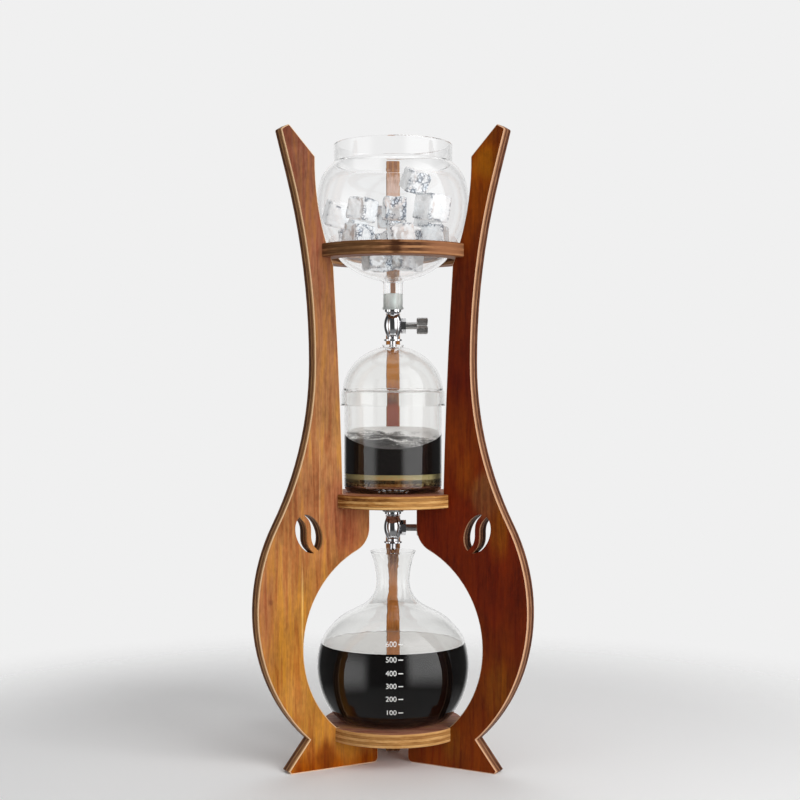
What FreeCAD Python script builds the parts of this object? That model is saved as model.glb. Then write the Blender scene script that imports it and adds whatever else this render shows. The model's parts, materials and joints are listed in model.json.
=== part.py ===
import FreeCAD, Part
import math
import os

# Cold drip coffee tower: three plywood legs and three plywood shelves hold, from the top down, a glass
# globe of ice, a drip valve, a glass brewing chamber with a domed lid, a second valve and a carafe.
# Frame: Z up, origin on the common axis of the glass vessels at floor level, rear leg towards +Y.
# All sizes are millimetres; all angles are degrees.

V = FreeCAD.Vector
UP = V(0, 0, 1)
ORIGIN = V(0, 0, 0)

# ---------------------------------------------------------------- timber frame
leg_bearings = {"left": 210.0, "right": 330.0, "rear": 90.0}
leg_thickness = 11.5
shelf_thickness = 10.5
leg_bevel = 0.7                 # broken edges along the outline of a leg
shelf_round = 0.9               # rounding of a shelf's rims
corner_round = 1.6              # rounding of the corners at the top of a leg
joint_clearance = 0.05          # glue line around each halved joint

base_shelf_bottom = 20.0
base_shelf_radius = 54.2
middle_shelf_margin = 14.0      # from the chamber's side to the middle shelf's rim
ring_hole_radius = 50.0
ring_width = 15.6

ring_notch_depth = 2.2          # notches in the shelves' rims that take the legs
middle_notch_depth = 2.7
base_notch_depth = 4.2

dowel_radius = 2.5
dowel_length = 16.0

# outline of a leg: reach is measured from the vessel axis, height from the floor
heel_reach = 16.5
heel_round = 4.0
toe_reach = 93.0
toe_bevel_width = 2.0
toe_bevel_height = 2.0
ankle_height = 24.0
bay_margin = 21.3               # from the carafe's belly to the edge of the round opening it stands in
bay_rise = 19.5                 # centre of that opening above the centre of the carafe
belly_width = 37.9              # width of the leg at its widest
belly_rise = 30.4               # its widest place above the centre of the opening
belly_radius = 133.8
waist_width = 15.6
waist_rise = 100.5              # narrowest place above the middle shelf
horn_radius = 530.0             # outward curve above the waist
horn_bend = 142.0               # height over which that curve runs
tip_rise = 84.1                 # outer corner of the leg's top above the ring
peak_setback = 6.5
peak_rise = 4.0
shoulder_margin = 11.3          # from the globe's side to the inner corner of the leg's top
shoulder_rise = 65.3            # that corner above the ring
cradle_radius = 202.0           # inner edge beside the ice globe
cradle_drop = 5.2               # lower end of that edge below the ring
ring_tongue = 10.0              # how far a leg reaches in under the ring
shelf_tongue = 4.9              # how far it reaches in over the middle shelf
inner_bow = 0.9
ledge_length = 23.4             # ledge that carries the middle shelf
ledge_round = 19.0

# pierced coffee bean in each leg
bean_inset = 5.3                # from the leg's waist out to the bean's centre
bean_drop = 18.5                # centre below the middle shelf
bean_half_width = 10.5
bean_half_length = 15.5
bean_tilt = 24.0
bean_vein_width = 4.0
bean_vein_bow = 2.2
bean_vein_steps = 8
bean_vein_overrun = 3.1         # the vein's cutter runs this far past both ends of the bean

# ---------------------------------------------------------------- glass
glass_wall = 2.0
rim_round = 0.8
seat_gap = 0.2                  # between a glass foot or rim and what it stands on
outlet_radius = 7.7             # short tube under the globe and under the chamber
outlet_bead_radius = 8.35
outlet_bead_height = 2.4
outlet_bead_round = 0.96
outlet_fillet = 2.5
nozzle_gap = 0.9                # between the lower nozzle's tip and the carafe's lip
nozzle_dip = 2.37               # how far the upper nozzle's tip reaches down into the lid's hole

globe_radius = 60.0
globe_outlet_length = 22.0      # from the bottom of the sphere to the end of the tube
globe_shoulder_radius = 30.0
globe_collar_radius = 46.4
globe_collar_base = 33.2        # above the centre of the sphere
globe_mouth_rise = 47.5         # above the centre of the sphere

chamber_radius = 38.3
chamber_height = 78.2
chamber_floor = 4.2
chamber_foot_round = 5.5
chamber_inner_round = 4.5
chamber_outlet_drop = 15.6      # from the chamber's foot down to the end of its outlet
shelf_hole_clearance = 0.6

lid_overhang = 0.9              # dome's radius less the chamber's
lid_rise = 36.0
lid_wall = 1.8
lid_hole_radius = 8.0
lid_lip_height = 1.6
lid_lip_flare = 0.5
lid_steps = 8
skirt_clearance = 0.7
skirt_wall = 1.7
skirt_height = 11.0
skirt_flare = 0.4               # widening over the lowest part of the skirt
skirt_flare_height = 1.6
skirt_shoulder = ((0.4, 0.0), (1.2, -1.2), (2.4, -1.5))     # rise above the seat, step in from the skirt

carafe_radius = 59.5
carafe_centre_height = 42.0     # above the base shelf
carafe_foot_radius = 35.0
carafe_wall = 1.8
carafe_shoulder_rise = 19.0     # above the centre of the sphere
carafe_neck = (
    # reach, rise above the centre of the sphere
    (48.5, 31.4), (40.0, 39.2), (30.0, 44.4), (22.9, 48.2),
    (18.2, 52.2), (14.3, 58.6), (13.0, 66.6), (14.2, 77.0),
)
carafe_lip_radius = 18.1
carafe_lip_rise = 89.7          # above the centre of the sphere
carafe_lip_slope = 0.42         # outward per upward travel at the lip
carafe_spline_steps = 16

# ---------------------------------------------------------------- contents
fill_gap = 0.05                 # between the contents and the inside of the glass
coffee_depth = 59.6
brew_depth = 4.3
screen_thickness = 0.8
screen_hole_radius = 1.1
screen_hole_pitch = 7.0
screen_foot_radius = 2.0
screen_foot_reach = 26.0
screen_foot_bearings = (30.0, 150.0, 270.0)
filter_thickness = 5.6
grounds_front = 19.5            # depth of the coffee bed at the front and at the back
grounds_back = 35.5

# the heap of ice is laid out for this inner radius of the globe and grows with it
ice_layout_radius = 58.0
ice_round = 2.4
ice_gap = 0.1
ice_steps = 14
ice_layers = (
    # cubes, size, ring radius, starting height above the globe's centre, first bearing, lean
    (4, 16.0, 17.5, -42.5, -60.0, 6.0),
    (6, 20.0, 34.5, -22.0, -20.0, 7.0),
    (1, 18.0, 0.0, -22.0, 20.0, 4.0),
    (1, 19.0, 2.0, -1.0, 130.0, 5.0),
)
ice_top = (
    # size, x, y, starting height above the globe's centre, lean, turn
    (19.0, 1.0, -38.5, -2.0, 5.0, 4.0),
    (19.0, -23.2, -32.5, -1.0, 9.0, 56.0),
    (19.0, -44.0, -8.0, -0.5, 24.0, 20.0),
    (22.0, 29.5, -31.0, 1.0, 8.0, 40.0),
    (19.0, 17.0, -19.5, 14.0, 22.0, 28.0),
    (19.0, -29.5, 22.5, 0.0, 9.0, 35.0),
    (19.0, 0.0, 36.0, 0.0, 7.0, 12.0),
    (19.0, 29.0, 24.0, 0.5, 9.0, 50.0),
)

# ---------------------------------------------------------------- drip valves
stopper_length = 12.8
stopper_clearance = 0.05
stopper_round = 0.8
spigot_radius = 2.2
spigot_length = 10.5
drip_bore_radius = 1.0
valve_flange_radius = 6.5
valve_flange_thickness = 1.6
valve_neck_radius = 4.7
valve_neck_drop = 3.2           # drops are measured down from the end of the glass outlet
valve_axis_drop = 12.5
valve_bulge_radius = 7.15
valve_foot_radius = 4.5
valve_foot_drop = 21.0
valve_end_drop = 22.9
port_radius = 3.95
port_reach = 8.5
port_face = 6.3                 # flat spot on the bulge that the gland nut faces
counterbore_radius = 2.8
counterbore_reach = 5.7
side_bore_radius = 2.08
side_bore_reach = 1.9
passage_radius = 1.6
nozzle_flange_radius = 7.1
nozzle_flange_thickness = 1.7
nozzle_flange_bevel = 0.4
nozzle_radius = 2.35
nozzle_length = 5.2
nozzle_bevel = 1.05
nozzle_spigot_radius = 2.6
nozzle_spigot_length = 3.6
gland_flats = 10.4
gland_length = 3.9
gland_wall = 0.9
gland_crown = 1.09              # radius of the crown on its corners, as a share of the corner radius
running_clearance = 0.08
stem_radius = 2.7
stem_thread_radius = 2.0
stem_end_reach = 2.6
stem_shoulder_reach = 6.5
needle_radius = 1.5
needle_point_radius = 0.05
needle_tip_reach = -0.4
needle_cone_length = 1.9
needle_head_end = 2.5
needle_pin_radius = 0.9
needle_pin_length = 2.0
needle_pin_play = 0.3
knob_reach = 18.6
knob_radius = 6.45
knob_length = 8.7
knob_ridges = 30
knob_ridge_depth = 0.45
knob_bevel = 0.7
knob_slot_width = 1.4
knob_slot_depth = 0.8
knob_socket_length = 6.4

# ---------------------------------------------------------------- sizes and heights that follow
overshoot = 1.0                 # how far a cutting shape runs past the face it cuts

middle_shelf_radius = chamber_radius + middle_shelf_margin
ring_radius = ring_hole_radius + ring_width
ring_joint_reach = ring_radius - ring_notch_depth
middle_joint_reach = middle_shelf_radius - middle_notch_depth
base_joint_reach = base_shelf_radius - base_notch_depth

base_shelf_top = base_shelf_bottom + shelf_thickness
carafe_foot = base_shelf_top + seat_gap
carafe_centre = base_shelf_top + carafe_centre_height
carafe_lip = carafe_centre + carafe_lip_rise

valve_height = valve_end_drop + nozzle_flange_thickness + nozzle_length
chamber_outlet_end = carafe_lip + nozzle_gap + valve_height
chamber_foot = chamber_outlet_end + chamber_outlet_drop
chamber_rim = chamber_foot + chamber_height
chamber_inner_radius = chamber_radius - glass_wall
chamber_inner_floor = chamber_foot + chamber_floor
middle_shelf_top = chamber_foot
middle_shelf_bottom = middle_shelf_top - shelf_thickness
outlet_bore = outlet_radius - glass_wall
shelf_hole_radius = outlet_bead_radius + shelf_hole_clearance

lid_radius = chamber_radius + lid_overhang
lid_seat = chamber_rim + seat_gap
lid_top = lid_seat + lid_rise * math.sqrt(1 - (lid_hole_radius / lid_radius) ** 2) + lid_lip_height

globe_outlet_end = lid_top - nozzle_dip + valve_height
globe_centre = globe_outlet_end + globe_outlet_length + globe_radius
globe_mouth = globe_centre + globe_mouth_rise
ring_top = globe_centre - math.sqrt(globe_radius ** 2 - (ring_hole_radius - seat_gap) ** 2)
ring_bottom = ring_top - shelf_thickness

bay_radius = carafe_radius + bay_margin
bay_height = carafe_centre + bay_rise
belly_reach = bay_radius + belly_width
belly_height = bay_height + belly_rise
upper_inner_reach = ring_radius - ring_tongue
lower_inner_reach = middle_shelf_radius - shelf_tongue
ledge_reach = lower_inner_reach - ledge_length
waist_reach = upper_inner_reach + waist_width
waist_height = middle_shelf_top + waist_rise
tip_height = ring_top + tip_rise
shoulder_reach = globe_radius + shoulder_margin
shoulder_height = ring_top + shoulder_rise
cradle_end_height = ring_bottom - cradle_drop

screen_bottom = chamber_inner_floor + brew_depth
filter_bottom = screen_bottom + screen_thickness
grounds_bottom = filter_bottom + filter_thickness

ice_scale = (globe_radius - glass_wall) / ice_layout_radius


# ---------------------------------------------------------------- helpers
def line(a, b):
    """Straight edge between two (reach, height) points of a section in the XZ plane."""
    return Part.makeLine(V(a[0], 0, a[1]), V(b[0], 0, b[1]))


def arc(a, middle, b):
    """Circular edge from a to b through a point between them."""
    return Part.Arc(V(a[0], 0, a[1]), V(middle[0], 0, middle[1]), V(b[0], 0, b[1])).toShape()


def on_circle(centre, radius, angle):
    """Point of a circle at an angle, anticlockwise from the direction of growing reach."""
    turn = math.radians(angle)
    return (centre[0] + radius * math.cos(turn), centre[1] + radius * math.sin(turn))


def bearing(centre, point):
    """Angle at which a point lies from a circle's centre."""
    return math.degrees(math.atan2(point[1] - centre[1], point[0] - centre[0]))


def circle_arc(centre, radius, start, end):
    """Edge of a circle from one angle to the other."""
    middle = on_circle(centre, radius, (start + end) / 2)
    return arc(on_circle(centre, radius, start), middle, on_circle(centre, radius, end))


def bowed_arc(a, b, radius):
    """Circular edge from a to b with a radius, bowed to its left-hand side seen along +Y."""
    half = math.dist(a, b) / 2
    bow = radius - math.sqrt(radius ** 2 - half ** 2)
    middle = ((a[0] + b[0]) / 2 - bow * (b[1] - a[1]) / (2 * half),
              (a[1] + b[1]) / 2 + bow * (b[0] - a[0]) / (2 * half))
    return arc(a, middle, b)


def curve(points, first=None, last=None):
    """Smooth edge through points, with the direction at each end where one is given."""
    spline = Part.BSplineCurve()
    places = [V(x, 0, z) for x, z in points]
    if first is None:
        spline.interpolate(places)
    else:
        spline.interpolate(Points=places, InitialTangent=V(first[0], 0, first[1]),
                           FinalTangent=V(last[0], 0, last[1]))
    return spline.toShape()


def inset_curve(edge, distance, steps):
    """Edge that keeps a distance from another one, on its left-hand side seen along +Y."""
    points = []
    low, high = edge.ParameterRange
    for step in range(steps + 1):
        at = low + (high - low) * step / steps
        along = edge.tangentAt(at)
        here = edge.valueAt(at)
        points.append((here.x - along.z * distance, here.z + along.x * distance))
    return curve(points)


def end_points(edge):
    """First and last (reach, height) of an edge, in the direction it was drawn."""
    first = edge.valueAt(edge.FirstParameter)
    last = edge.valueAt(edge.LastParameter)
    return (first.x, first.z), (last.x, last.z)


def chain(*pieces):
    """Face bounded by edges and corner points, listed in order and closed at the end."""
    edges = []
    start = None
    here = None
    for piece in pieces:
        first, last = (piece, piece) if isinstance(piece, tuple) else end_points(piece)
        if here is not None and math.dist(here, first) > 1e-6:
            edges.append(line(here, first))
        if not isinstance(piece, tuple):
            edges.append(piece)
        start = first if start is None else start
        here = last
    if math.dist(here, start) > 1e-6:
        edges.append(line(here, start))
    return Part.Face(Part.Wire(Part.__sortEdges__(edges)))


def turned(face, axis=UP):
    """Solid of revolution of a section about an axis through the origin."""
    return face.revolve(ORIGIN, axis, 360)


def disc(radius, bottom, top):
    """Upright cylinder on the vessel axis between two heights."""
    return Part.makeCylinder(radius, top - bottom, V(0, 0, bottom))


def rod(radius, start, end, height=0.0):
    """Cylinder along X at a height."""
    return Part.makeCylinder(radius, end - start, V(start, 0, height), V(1, 0, 0))


def swing(shape, angle):
    """Copy of a shape turned about the vessel axis."""
    copy = shape.copy()
    copy.rotate(ORIGIN, UP, angle)
    return copy


def rounded(shape, radius, picked):
    """Shape with the edges that a test picks rounded."""
    return shape.makeFillet(radius, [edge for edge in shape.Edges if picked(edge)])


def at_height(edge, height):
    """True for an edge that lies level at a height."""
    box = edge.BoundBox
    return abs(box.ZMin - height) < 1e-4 and abs(box.ZMax - height) < 1e-4


# ---------------------------------------------------------------- timber pieces
def horn():
    """Outer curve of a leg above its waist, and the sharp corners from its tip to its inner shoulder."""
    centre = (waist_reach + horn_radius, waist_height)
    turn = math.degrees(math.asin(horn_bend / horn_radius))
    end = on_circle(centre, horn_radius, 180 - turn)
    tip = (end[0] + (tip_height - end[1]) * math.tan(math.radians(turn)), tip_height)
    peak = (tip[0] - peak_setback, tip[1] + peak_rise)
    return circle_arc(centre, horn_radius, 180, 180 - turn), [tip, peak, (shoulder_reach, shoulder_height)]


def leg_face():
    """Outline of a leg, with the slots for the shelves still to be cut."""
    belly_centre = (belly_reach - belly_radius, belly_height)
    # the waist's lower curve is as round as it must be to run smoothly into the belly
    across = waist_reach - belly_centre[0]
    rise = waist_height - belly_height
    waist_radius = (across ** 2 + rise ** 2 - belly_radius ** 2) / (2 * (belly_radius - across))
    waist_centre = (waist_reach + waist_radius, waist_height)
    meeting = bearing(belly_centre, waist_centre)
    ankle = math.degrees(math.asin((ankle_height - belly_height) / belly_radius))

    horn_edge, horn_corners = horn()

    upper_inner = (upper_inner_reach, cradle_end_height)
    lower_inner = (lower_inner_reach, middle_shelf_top)
    bowed = ((upper_inner[0] + lower_inner[0]) / 2 - inner_bow, (upper_inner[1] + lower_inner[1]) / 2)

    # hollow corner between the ledge and the bay: a circle touching both
    hollow_reach = ledge_reach + ledge_round
    hollow = (hollow_reach, bay_height + math.sqrt((bay_radius + ledge_round) ** 2 - hollow_reach ** 2))
    bay_centre = (0, bay_height)
    bay_top = bearing(bay_centre, hollow)
    bay_bottom = math.degrees(math.asin((base_shelf_top - bay_height) / bay_radius))

    heel_centre = (heel_reach + heel_round, heel_round)
    return chain(
        circle_arc(heel_centre, heel_round, 180, 270),
        (toe_reach - toe_bevel_width, 0), (toe_reach, toe_bevel_height),
        circle_arc(belly_centre, belly_radius, ankle, meeting),
        circle_arc(waist_centre, waist_radius, 180 + meeting, 180),
        horn_edge, *horn_corners,
        bowed_arc(horn_corners[-1], upper_inner, cradle_radius),
        arc(upper_inner, bowed, lower_inner),
        (lower_inner_reach, middle_shelf_bottom),
        (ledge_reach, middle_shelf_bottom),
        circle_arc(hollow, ledge_round, 180, 180 + bay_top),
        circle_arc(bay_centre, bay_radius, bay_top, bay_bottom),
        (base_joint_reach - overshoot, base_shelf_top), (base_joint_reach - overshoot, base_shelf_bottom),
        (heel_reach, base_shelf_bottom),
    )


def bean_cutter():
    """Two halves of a pierced coffee bean, divided by a curved vein, through a leg lying along +X."""
    outline = Part.Ellipse(ORIGIN, bean_half_length, bean_half_width).toShape()
    oval = Part.Face(Part.Wire(outline))
    overrun = bean_half_length + bean_vein_overrun
    edges = []
    for side in (-1, 1):
        points = []
        for step in range(bean_vein_steps + 1):
            along = side * overrun * (1 - 2 * step / bean_vein_steps)
            bow = bean_vein_bow * math.sin(math.pi * along / bean_half_length)
            points.append(V(along, bow + side * bean_vein_width / 2, 0))
        spline = Part.BSplineCurve()
        spline.interpolate(points)
        edges.append(spline.toShape())
        edges.append(Part.makeLine(points[-1], V(points[-1].x, points[-1].y - side * bean_vein_width, 0)))
    halves = oval.cut(Part.Face(Part.Wire(Part.__sortEdges__(edges))))
    through = 2 * leg_thickness
    cutter = halves.extrude(V(0, 0, through))
    cutter.translate(V(0, 0, -through / 2))
    # from the sketch plane to the leg's plane: long axis up, tilted outwards
    cutter.rotate(ORIGIN, UP, 90 - bean_tilt)
    cutter.rotate(ORIGIN, V(1, 0, 0), 90)
    cutter.translate(V(waist_reach + bean_inset, 0, middle_shelf_bottom - bean_drop))
    return cutter


def joint_slot(reach, bottom):
    """Slot in a leg lying along +X that takes a shelf's rim."""
    return Part.makeBox(reach + joint_clearance, 2 * leg_thickness, shelf_thickness + 2 * joint_clearance,
                        V(0, -leg_thickness, bottom - joint_clearance))


# where each shelf meets the legs: bottom of the slot, underside of the shelf
shelf_joints = {
    "ring": (ring_joint_reach, ring_bottom),
    "middle": (middle_joint_reach, middle_shelf_bottom),
    "base": (base_joint_reach, base_shelf_bottom),
}
dowelled_joints = ("ring", "base")


def dowel(joint):
    """Dowel, along +X, that pins a leg to the shelf at one joint."""
    reach, bottom = shelf_joints[joint]
    return rod(dowel_radius, reach - dowel_length / 2, reach + dowel_length / 2, bottom + shelf_thickness / 2)


def leg():
    """One leg lying in the +X half of the XZ plane."""
    outline = leg_face()
    outline.translate(V(0, -leg_thickness / 2, 0))
    board = outline.extrude(V(0, leg_thickness, 0))

    corners = horn()[1]

    def horn_corner(edge):
        place = edge.CenterOfMass
        across = edge.BoundBox.YLength > leg_thickness / 2
        return across and min(math.dist((place.x, place.z), corner) for corner in corners) < 0.01

    def long_edge(edge):
        box = edge.BoundBox
        return box.YLength < 1e-6 and abs(abs(box.YMin) - leg_thickness / 2) < 1e-6

    board = rounded(board, corner_round, horn_corner)
    board = board.makeChamfer(leg_bevel, [edge for edge in board.Edges if long_edge(edge)])
    for reach, bottom in shelf_joints.values():
        board = board.cut(joint_slot(reach, bottom))
    for joint in dowelled_joints:
        board = board.cut(dowel(joint))
    return board.cut(bean_cutter())


def shelf(joint, radius):
    """Round shelf with a notch, and where it is dowelled a dowel hole, for each leg."""
    reach, bottom = shelf_joints[joint]
    top = bottom + shelf_thickness
    plate = disc(radius, bottom, top)
    plate = rounded(plate, shelf_round, lambda edge: at_height(edge, bottom) or at_height(edge, top))
    width = leg_thickness + 2 * joint_clearance
    height = shelf_thickness + 2 * overshoot
    for angle in leg_bearings.values():
        notch = Part.makeBox(radius, width, height, V(reach, -width / 2, bottom - overshoot))
        plate = plate.cut(swing(notch, angle))
        if joint in dowelled_joints:
            plate = plate.cut(swing(dowel(joint), angle))
    return plate


def upper_ring():
    """Ring that the ice globe sits in."""
    hole = disc(ring_hole_radius, ring_bottom - overshoot, ring_top + overshoot)
    return shelf("ring", ring_radius).cut(hole)


def middle_shelf():
    """Disc under the brewing chamber, with a hole for the chamber's outlet."""
    hole = disc(shelf_hole_radius, middle_shelf_bottom - overshoot, middle_shelf_top + overshoot)
    return shelf("middle", middle_shelf_radius).cut(hole)


# ---------------------------------------------------------------- glass pieces
def bead(end):
    """Thickened end of an outlet tube."""
    top = end + outlet_bead_height
    ring = disc(outlet_bead_radius, end, top)
    return rounded(ring, outlet_bead_round, lambda edge: at_height(edge, end) or at_height(edge, top))


def globe_solid(inset):
    """Space inside the globe's outer surface, or inside its wall when inset by the wall."""
    centre = (0, globe_centre)
    radius = globe_radius - inset
    tube = outlet_radius - inset
    fillet = outlet_fillet + inset
    fillet_reach = tube + fillet
    fillet_centre = (fillet_reach, globe_centre - math.sqrt((radius + fillet) ** 2 - fillet_reach ** 2))
    bottom = bearing(centre, fillet_centre)

    # the shoulder touches the sphere from inside and ends at the foot of the collar
    foot = (globe_collar_radius, globe_centre + globe_collar_base)
    reach = math.dist(centre, foot)
    inner = globe_radius - globe_shoulder_radius
    along = (reach ** 2 + inner ** 2 - globe_shoulder_radius ** 2) / (2 * reach)
    aside = math.sqrt(inner ** 2 - along ** 2)
    ahead = ((foot[0] - centre[0]) / reach, (foot[1] - centre[1]) / reach)
    shoulder_centre = (along * ahead[0] + aside * ahead[1], centre[1] + along * ahead[1] - aside * ahead[0])
    touching = bearing(centre, shoulder_centre)
    shoulder_radius = globe_shoulder_radius - inset
    collar = globe_collar_radius - inset
    top = math.degrees(math.acos((collar - shoulder_centre[0]) / shoulder_radius))

    return turned(chain(
        (0, globe_outlet_end), (tube, globe_outlet_end),
        circle_arc(fillet_centre, fillet, 180, 180 + bottom),
        circle_arc(centre, radius, bottom, touching),
        circle_arc(shoulder_centre, shoulder_radius, touching, top),
        (collar, globe_mouth), (0, globe_mouth)))


def ice_globe():
    """Round glass globe with a wide open mouth and a short outlet."""
    glass = globe_solid(0).fuse(bead(globe_outlet_end)).cut(globe_solid(glass_wall))
    return rounded(glass, rim_round, lambda edge: at_height(edge, globe_mouth))


def chamber_space(inset):
    """Space inside the brewing chamber, less the gap that its contents keep from the glass."""
    radius = chamber_inner_radius - inset
    floor = chamber_inner_floor + inset
    top = chamber_rim + overshoot
    centre = (radius - chamber_inner_round, floor + chamber_inner_round)
    return turned(chain(
        (0, floor), (centre[0], floor), circle_arc(centre, chamber_inner_round, -90, 0),
        (radius, top), (0, top)))


def brew_chamber():
    """Straight glass cup with a thick floor and an outlet that passes through the middle shelf."""
    centre = (chamber_radius - chamber_foot_round, chamber_foot + chamber_foot_round)
    cup = turned(chain(
        (0, chamber_foot), (chamber_radius - chamber_foot_round, chamber_foot),
        circle_arc(centre, chamber_foot_round, -90, 0),
        (chamber_radius, chamber_rim), (0, chamber_rim)))
    tube = disc(outlet_radius, chamber_outlet_end, chamber_foot + overshoot)
    bore = disc(outlet_bore, chamber_outlet_end - overshoot, chamber_inner_floor + overshoot)
    glass = cup.fuse(tube).fuse(bead(chamber_outlet_end)).cut(bore).cut(chamber_space(0))
    return rounded(glass, rim_round, lambda edge: at_height(edge, chamber_rim))


def lid_section(inset):
    """Points of the dome's half section from its seat to its hole."""
    wide = lid_radius - inset
    high = lid_rise - inset
    turn = math.acos((lid_hole_radius - inset) / wide)
    points = []
    for step in range(lid_steps + 1):
        angle = turn * step / lid_steps
        points.append((wide * math.cos(angle), lid_seat + high * math.sin(angle)))
    return points


def chamber_lid():
    """Domed lid with a hole for the dripping nozzle and a skirt that drops over the chamber's rim."""
    outer = lid_section(0)
    inner = lid_section(lid_wall)
    skirt_inner = chamber_radius + skirt_clearance
    skirt_outer = skirt_inner + skirt_wall
    skirt_bottom = lid_seat - skirt_height
    shoulder = [(skirt_outer + step, lid_seat + rise) for rise, step in skirt_shoulder]
    return turned(chain(
        (skirt_inner, skirt_bottom), (skirt_outer + skirt_flare, skirt_bottom),
        (skirt_outer, skirt_bottom + skirt_flare_height), *shoulder[:-1],
        curve(shoulder[-1:] + outer[1:]),
        (lid_hole_radius + lid_lip_flare, lid_top), (lid_hole_radius - lid_wall, lid_top),
        curve(inner[::-1]),
        (skirt_inner, lid_seat)))


def carafe_neck_edge():
    """Outer curve of the carafe from its sphere to its lip."""
    start = (math.sqrt(carafe_radius ** 2 - carafe_shoulder_rise ** 2), carafe_shoulder_rise)
    points = [start] + list(carafe_neck) + [(carafe_lip_radius, carafe_lip_rise)]
    placed = [(reach, carafe_centre + rise) for reach, rise in points]
    return curve(placed, first=(-start[1], start[0]), last=(carafe_lip_slope, 1))


def carafe_solid(inset):
    """Space inside the carafe's outer surface, or inside its wall when inset by the wall."""
    centre = (0, carafe_centre)
    drop = carafe_centre - carafe_foot
    # the rounded foot touches the flat base and the sphere
    foot = (carafe_foot_radius ** 2 + drop ** 2 - carafe_radius ** 2) / (2 * (drop - carafe_radius))
    foot_centre = (carafe_foot_radius, carafe_foot + foot)
    low = bearing(centre, foot_centre)
    neck = carafe_neck_edge()
    if inset:
        neck = inset_curve(neck, inset, carafe_spline_steps)
    start, end = end_points(neck)
    high = bearing(centre, start)
    return turned(chain(
        (0, carafe_foot + inset), (carafe_foot_radius, carafe_foot + inset),
        circle_arc(foot_centre, foot - inset, -90, low),
        circle_arc(centre, carafe_radius - inset, low, high),
        neck, (0, end[1])))


def carafe():
    """Round-bellied glass carafe with a narrow flared neck."""
    opening = disc(carafe_lip_radius - carafe_wall, carafe_lip - overshoot, carafe_lip + overshoot)
    return carafe_solid(0).cut(carafe_solid(carafe_wall)).cut(opening)


# ---------------------------------------------------------------- contents
def coffee():
    """Finished coffee in the carafe."""
    fill = carafe_solid(carafe_wall + fill_gap)
    return fill.common(disc(carafe_radius, carafe_foot, carafe_foot + coffee_depth))


def chamber_fill(bottom, top):
    """Layer of the chamber's contents between two heights."""
    return chamber_space(fill_gap).common(disc(chamber_radius, bottom, top))


def screen_feet():
    """Three feet that hold the filter screen off the chamber's floor."""
    floor = chamber_inner_floor + fill_gap
    feet = []
    for turn in screen_foot_bearings:
        foot = Part.makeCylinder(screen_foot_radius, screen_bottom - floor, V(screen_foot_reach, 0, floor))
        feet.append(swing(foot, turn))
    return feet


def filter_screen():
    """Perforated steel disc on three feet."""
    plate = chamber_fill(screen_bottom, filter_bottom)
    holes = []
    rings = int((chamber_inner_radius - 2 * screen_hole_radius) / screen_hole_pitch)
    for ring in range(1, rings + 1):
        for step in range(6 * ring):
            place = on_circle((0, 0), ring * screen_hole_pitch, 60.0 * step / ring)
            holes.append(Part.makeCylinder(screen_hole_radius, screen_thickness + 2 * overshoot,
                                           V(place[0], place[1], screen_bottom - overshoot)))
    return plate.cut(Part.makeCompound(holes)).fuse(screen_feet())


def filtered_brew():
    """Coffee that has passed the filter and stands on the chamber's floor."""
    layer = chamber_fill(chamber_inner_floor, screen_bottom - fill_gap)
    return layer.cut(Part.makeCompound(screen_feet()))


def coffee_grounds():
    """Wet coffee bed, lower at the front than at the back."""
    bed = chamber_fill(grounds_bottom, grounds_bottom + grounds_back + overshoot)
    slope = math.degrees(math.atan2(grounds_back - grounds_front, 2 * chamber_inner_radius))
    side = 4 * chamber_radius
    above = Part.makeBox(side, side, side, V(-side / 2, -side / 2, 0))
    above.rotate(ORIGIN, V(1, 0, 0), slope)
    above.translate(V(0, 0, grounds_bottom + (grounds_front + grounds_back) / 2))
    return bed.cut(above)


def ice_block(size, lean, turn):
    """Sharp block about the origin, leaning and turned."""
    block = Part.makeBox(size, size, size, V(-size / 2, -size / 2, -size / 2))
    block.rotate(ORIGIN, V(1, 0, 0), lean)
    block.rotate(ORIGIN, V(0, 1, 0), lean / 2)
    block.rotate(ORIGIN, UP, turn)
    return block


def ice_places():
    """Size, place and lean of every cube in the order they are put in, from the bottom of the globe up."""
    places = []
    for count, size, ring, start, first, lean in ice_layers:
        for step in range(count):
            turn = first + 360.0 * step / count
            x, y = on_circle((0, 0), ring, turn)
            places.append((size, x, y, start, lean if step % 2 else -lean, turn))
    return places + list(ice_top)


def ice_room(core, heap):
    """Free distance round a cube, measured from its core: the cube less its rounded skin."""
    centre = V(0, 0, globe_centre)
    reach = max(corner.Point.distanceToPoint(centre) for corner in core.Vertexes)
    room = globe_radius - glass_wall - reach - ice_round
    for other in heap:
        if core.CenterOfMass.distanceToPoint(other.CenterOfMass) < globe_radius:
            room = min(room, core.distToShape(other)[0] - 2 * ice_round)
    return room - ice_gap


def ice_cubes():
    """Heap of ice cubes, each let down until it meets the glass or a cube already in place."""
    heap = []
    cubes = []
    for size, x, y, start, lean, turn in ice_places():
        side = size * ice_scale
        core = ice_block(side - 2 * ice_round, lean, turn)
        core.translate(V(x * ice_scale, y * ice_scale, globe_centre + start * ice_scale))
        for step in range(ice_steps):
            room = ice_room(core, heap)
            core.translate(V(0, 0, -room))
            if abs(room) < ice_gap:
                break
        heap.append(core)
        cube = ice_block(side, lean, turn)
        cube = cube.makeFillet(ice_round, cube.Edges)
        cube.translate(core.CenterOfMass)
        cubes.append(cube)
    return cubes


# ---------------------------------------------------------------- drip valve pieces
def stopper(end):
    """Soft bung in a glass outlet that ends at a height, bored for the valve's spigot."""
    plug = disc(outlet_bore - stopper_clearance, end, end + stopper_length)
    plug = rounded(plug, stopper_round, lambda edge: at_height(edge, end + stopper_length))
    return plug.cut(disc(spigot_radius, end - overshoot, end + stopper_length + overshoot))


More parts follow.
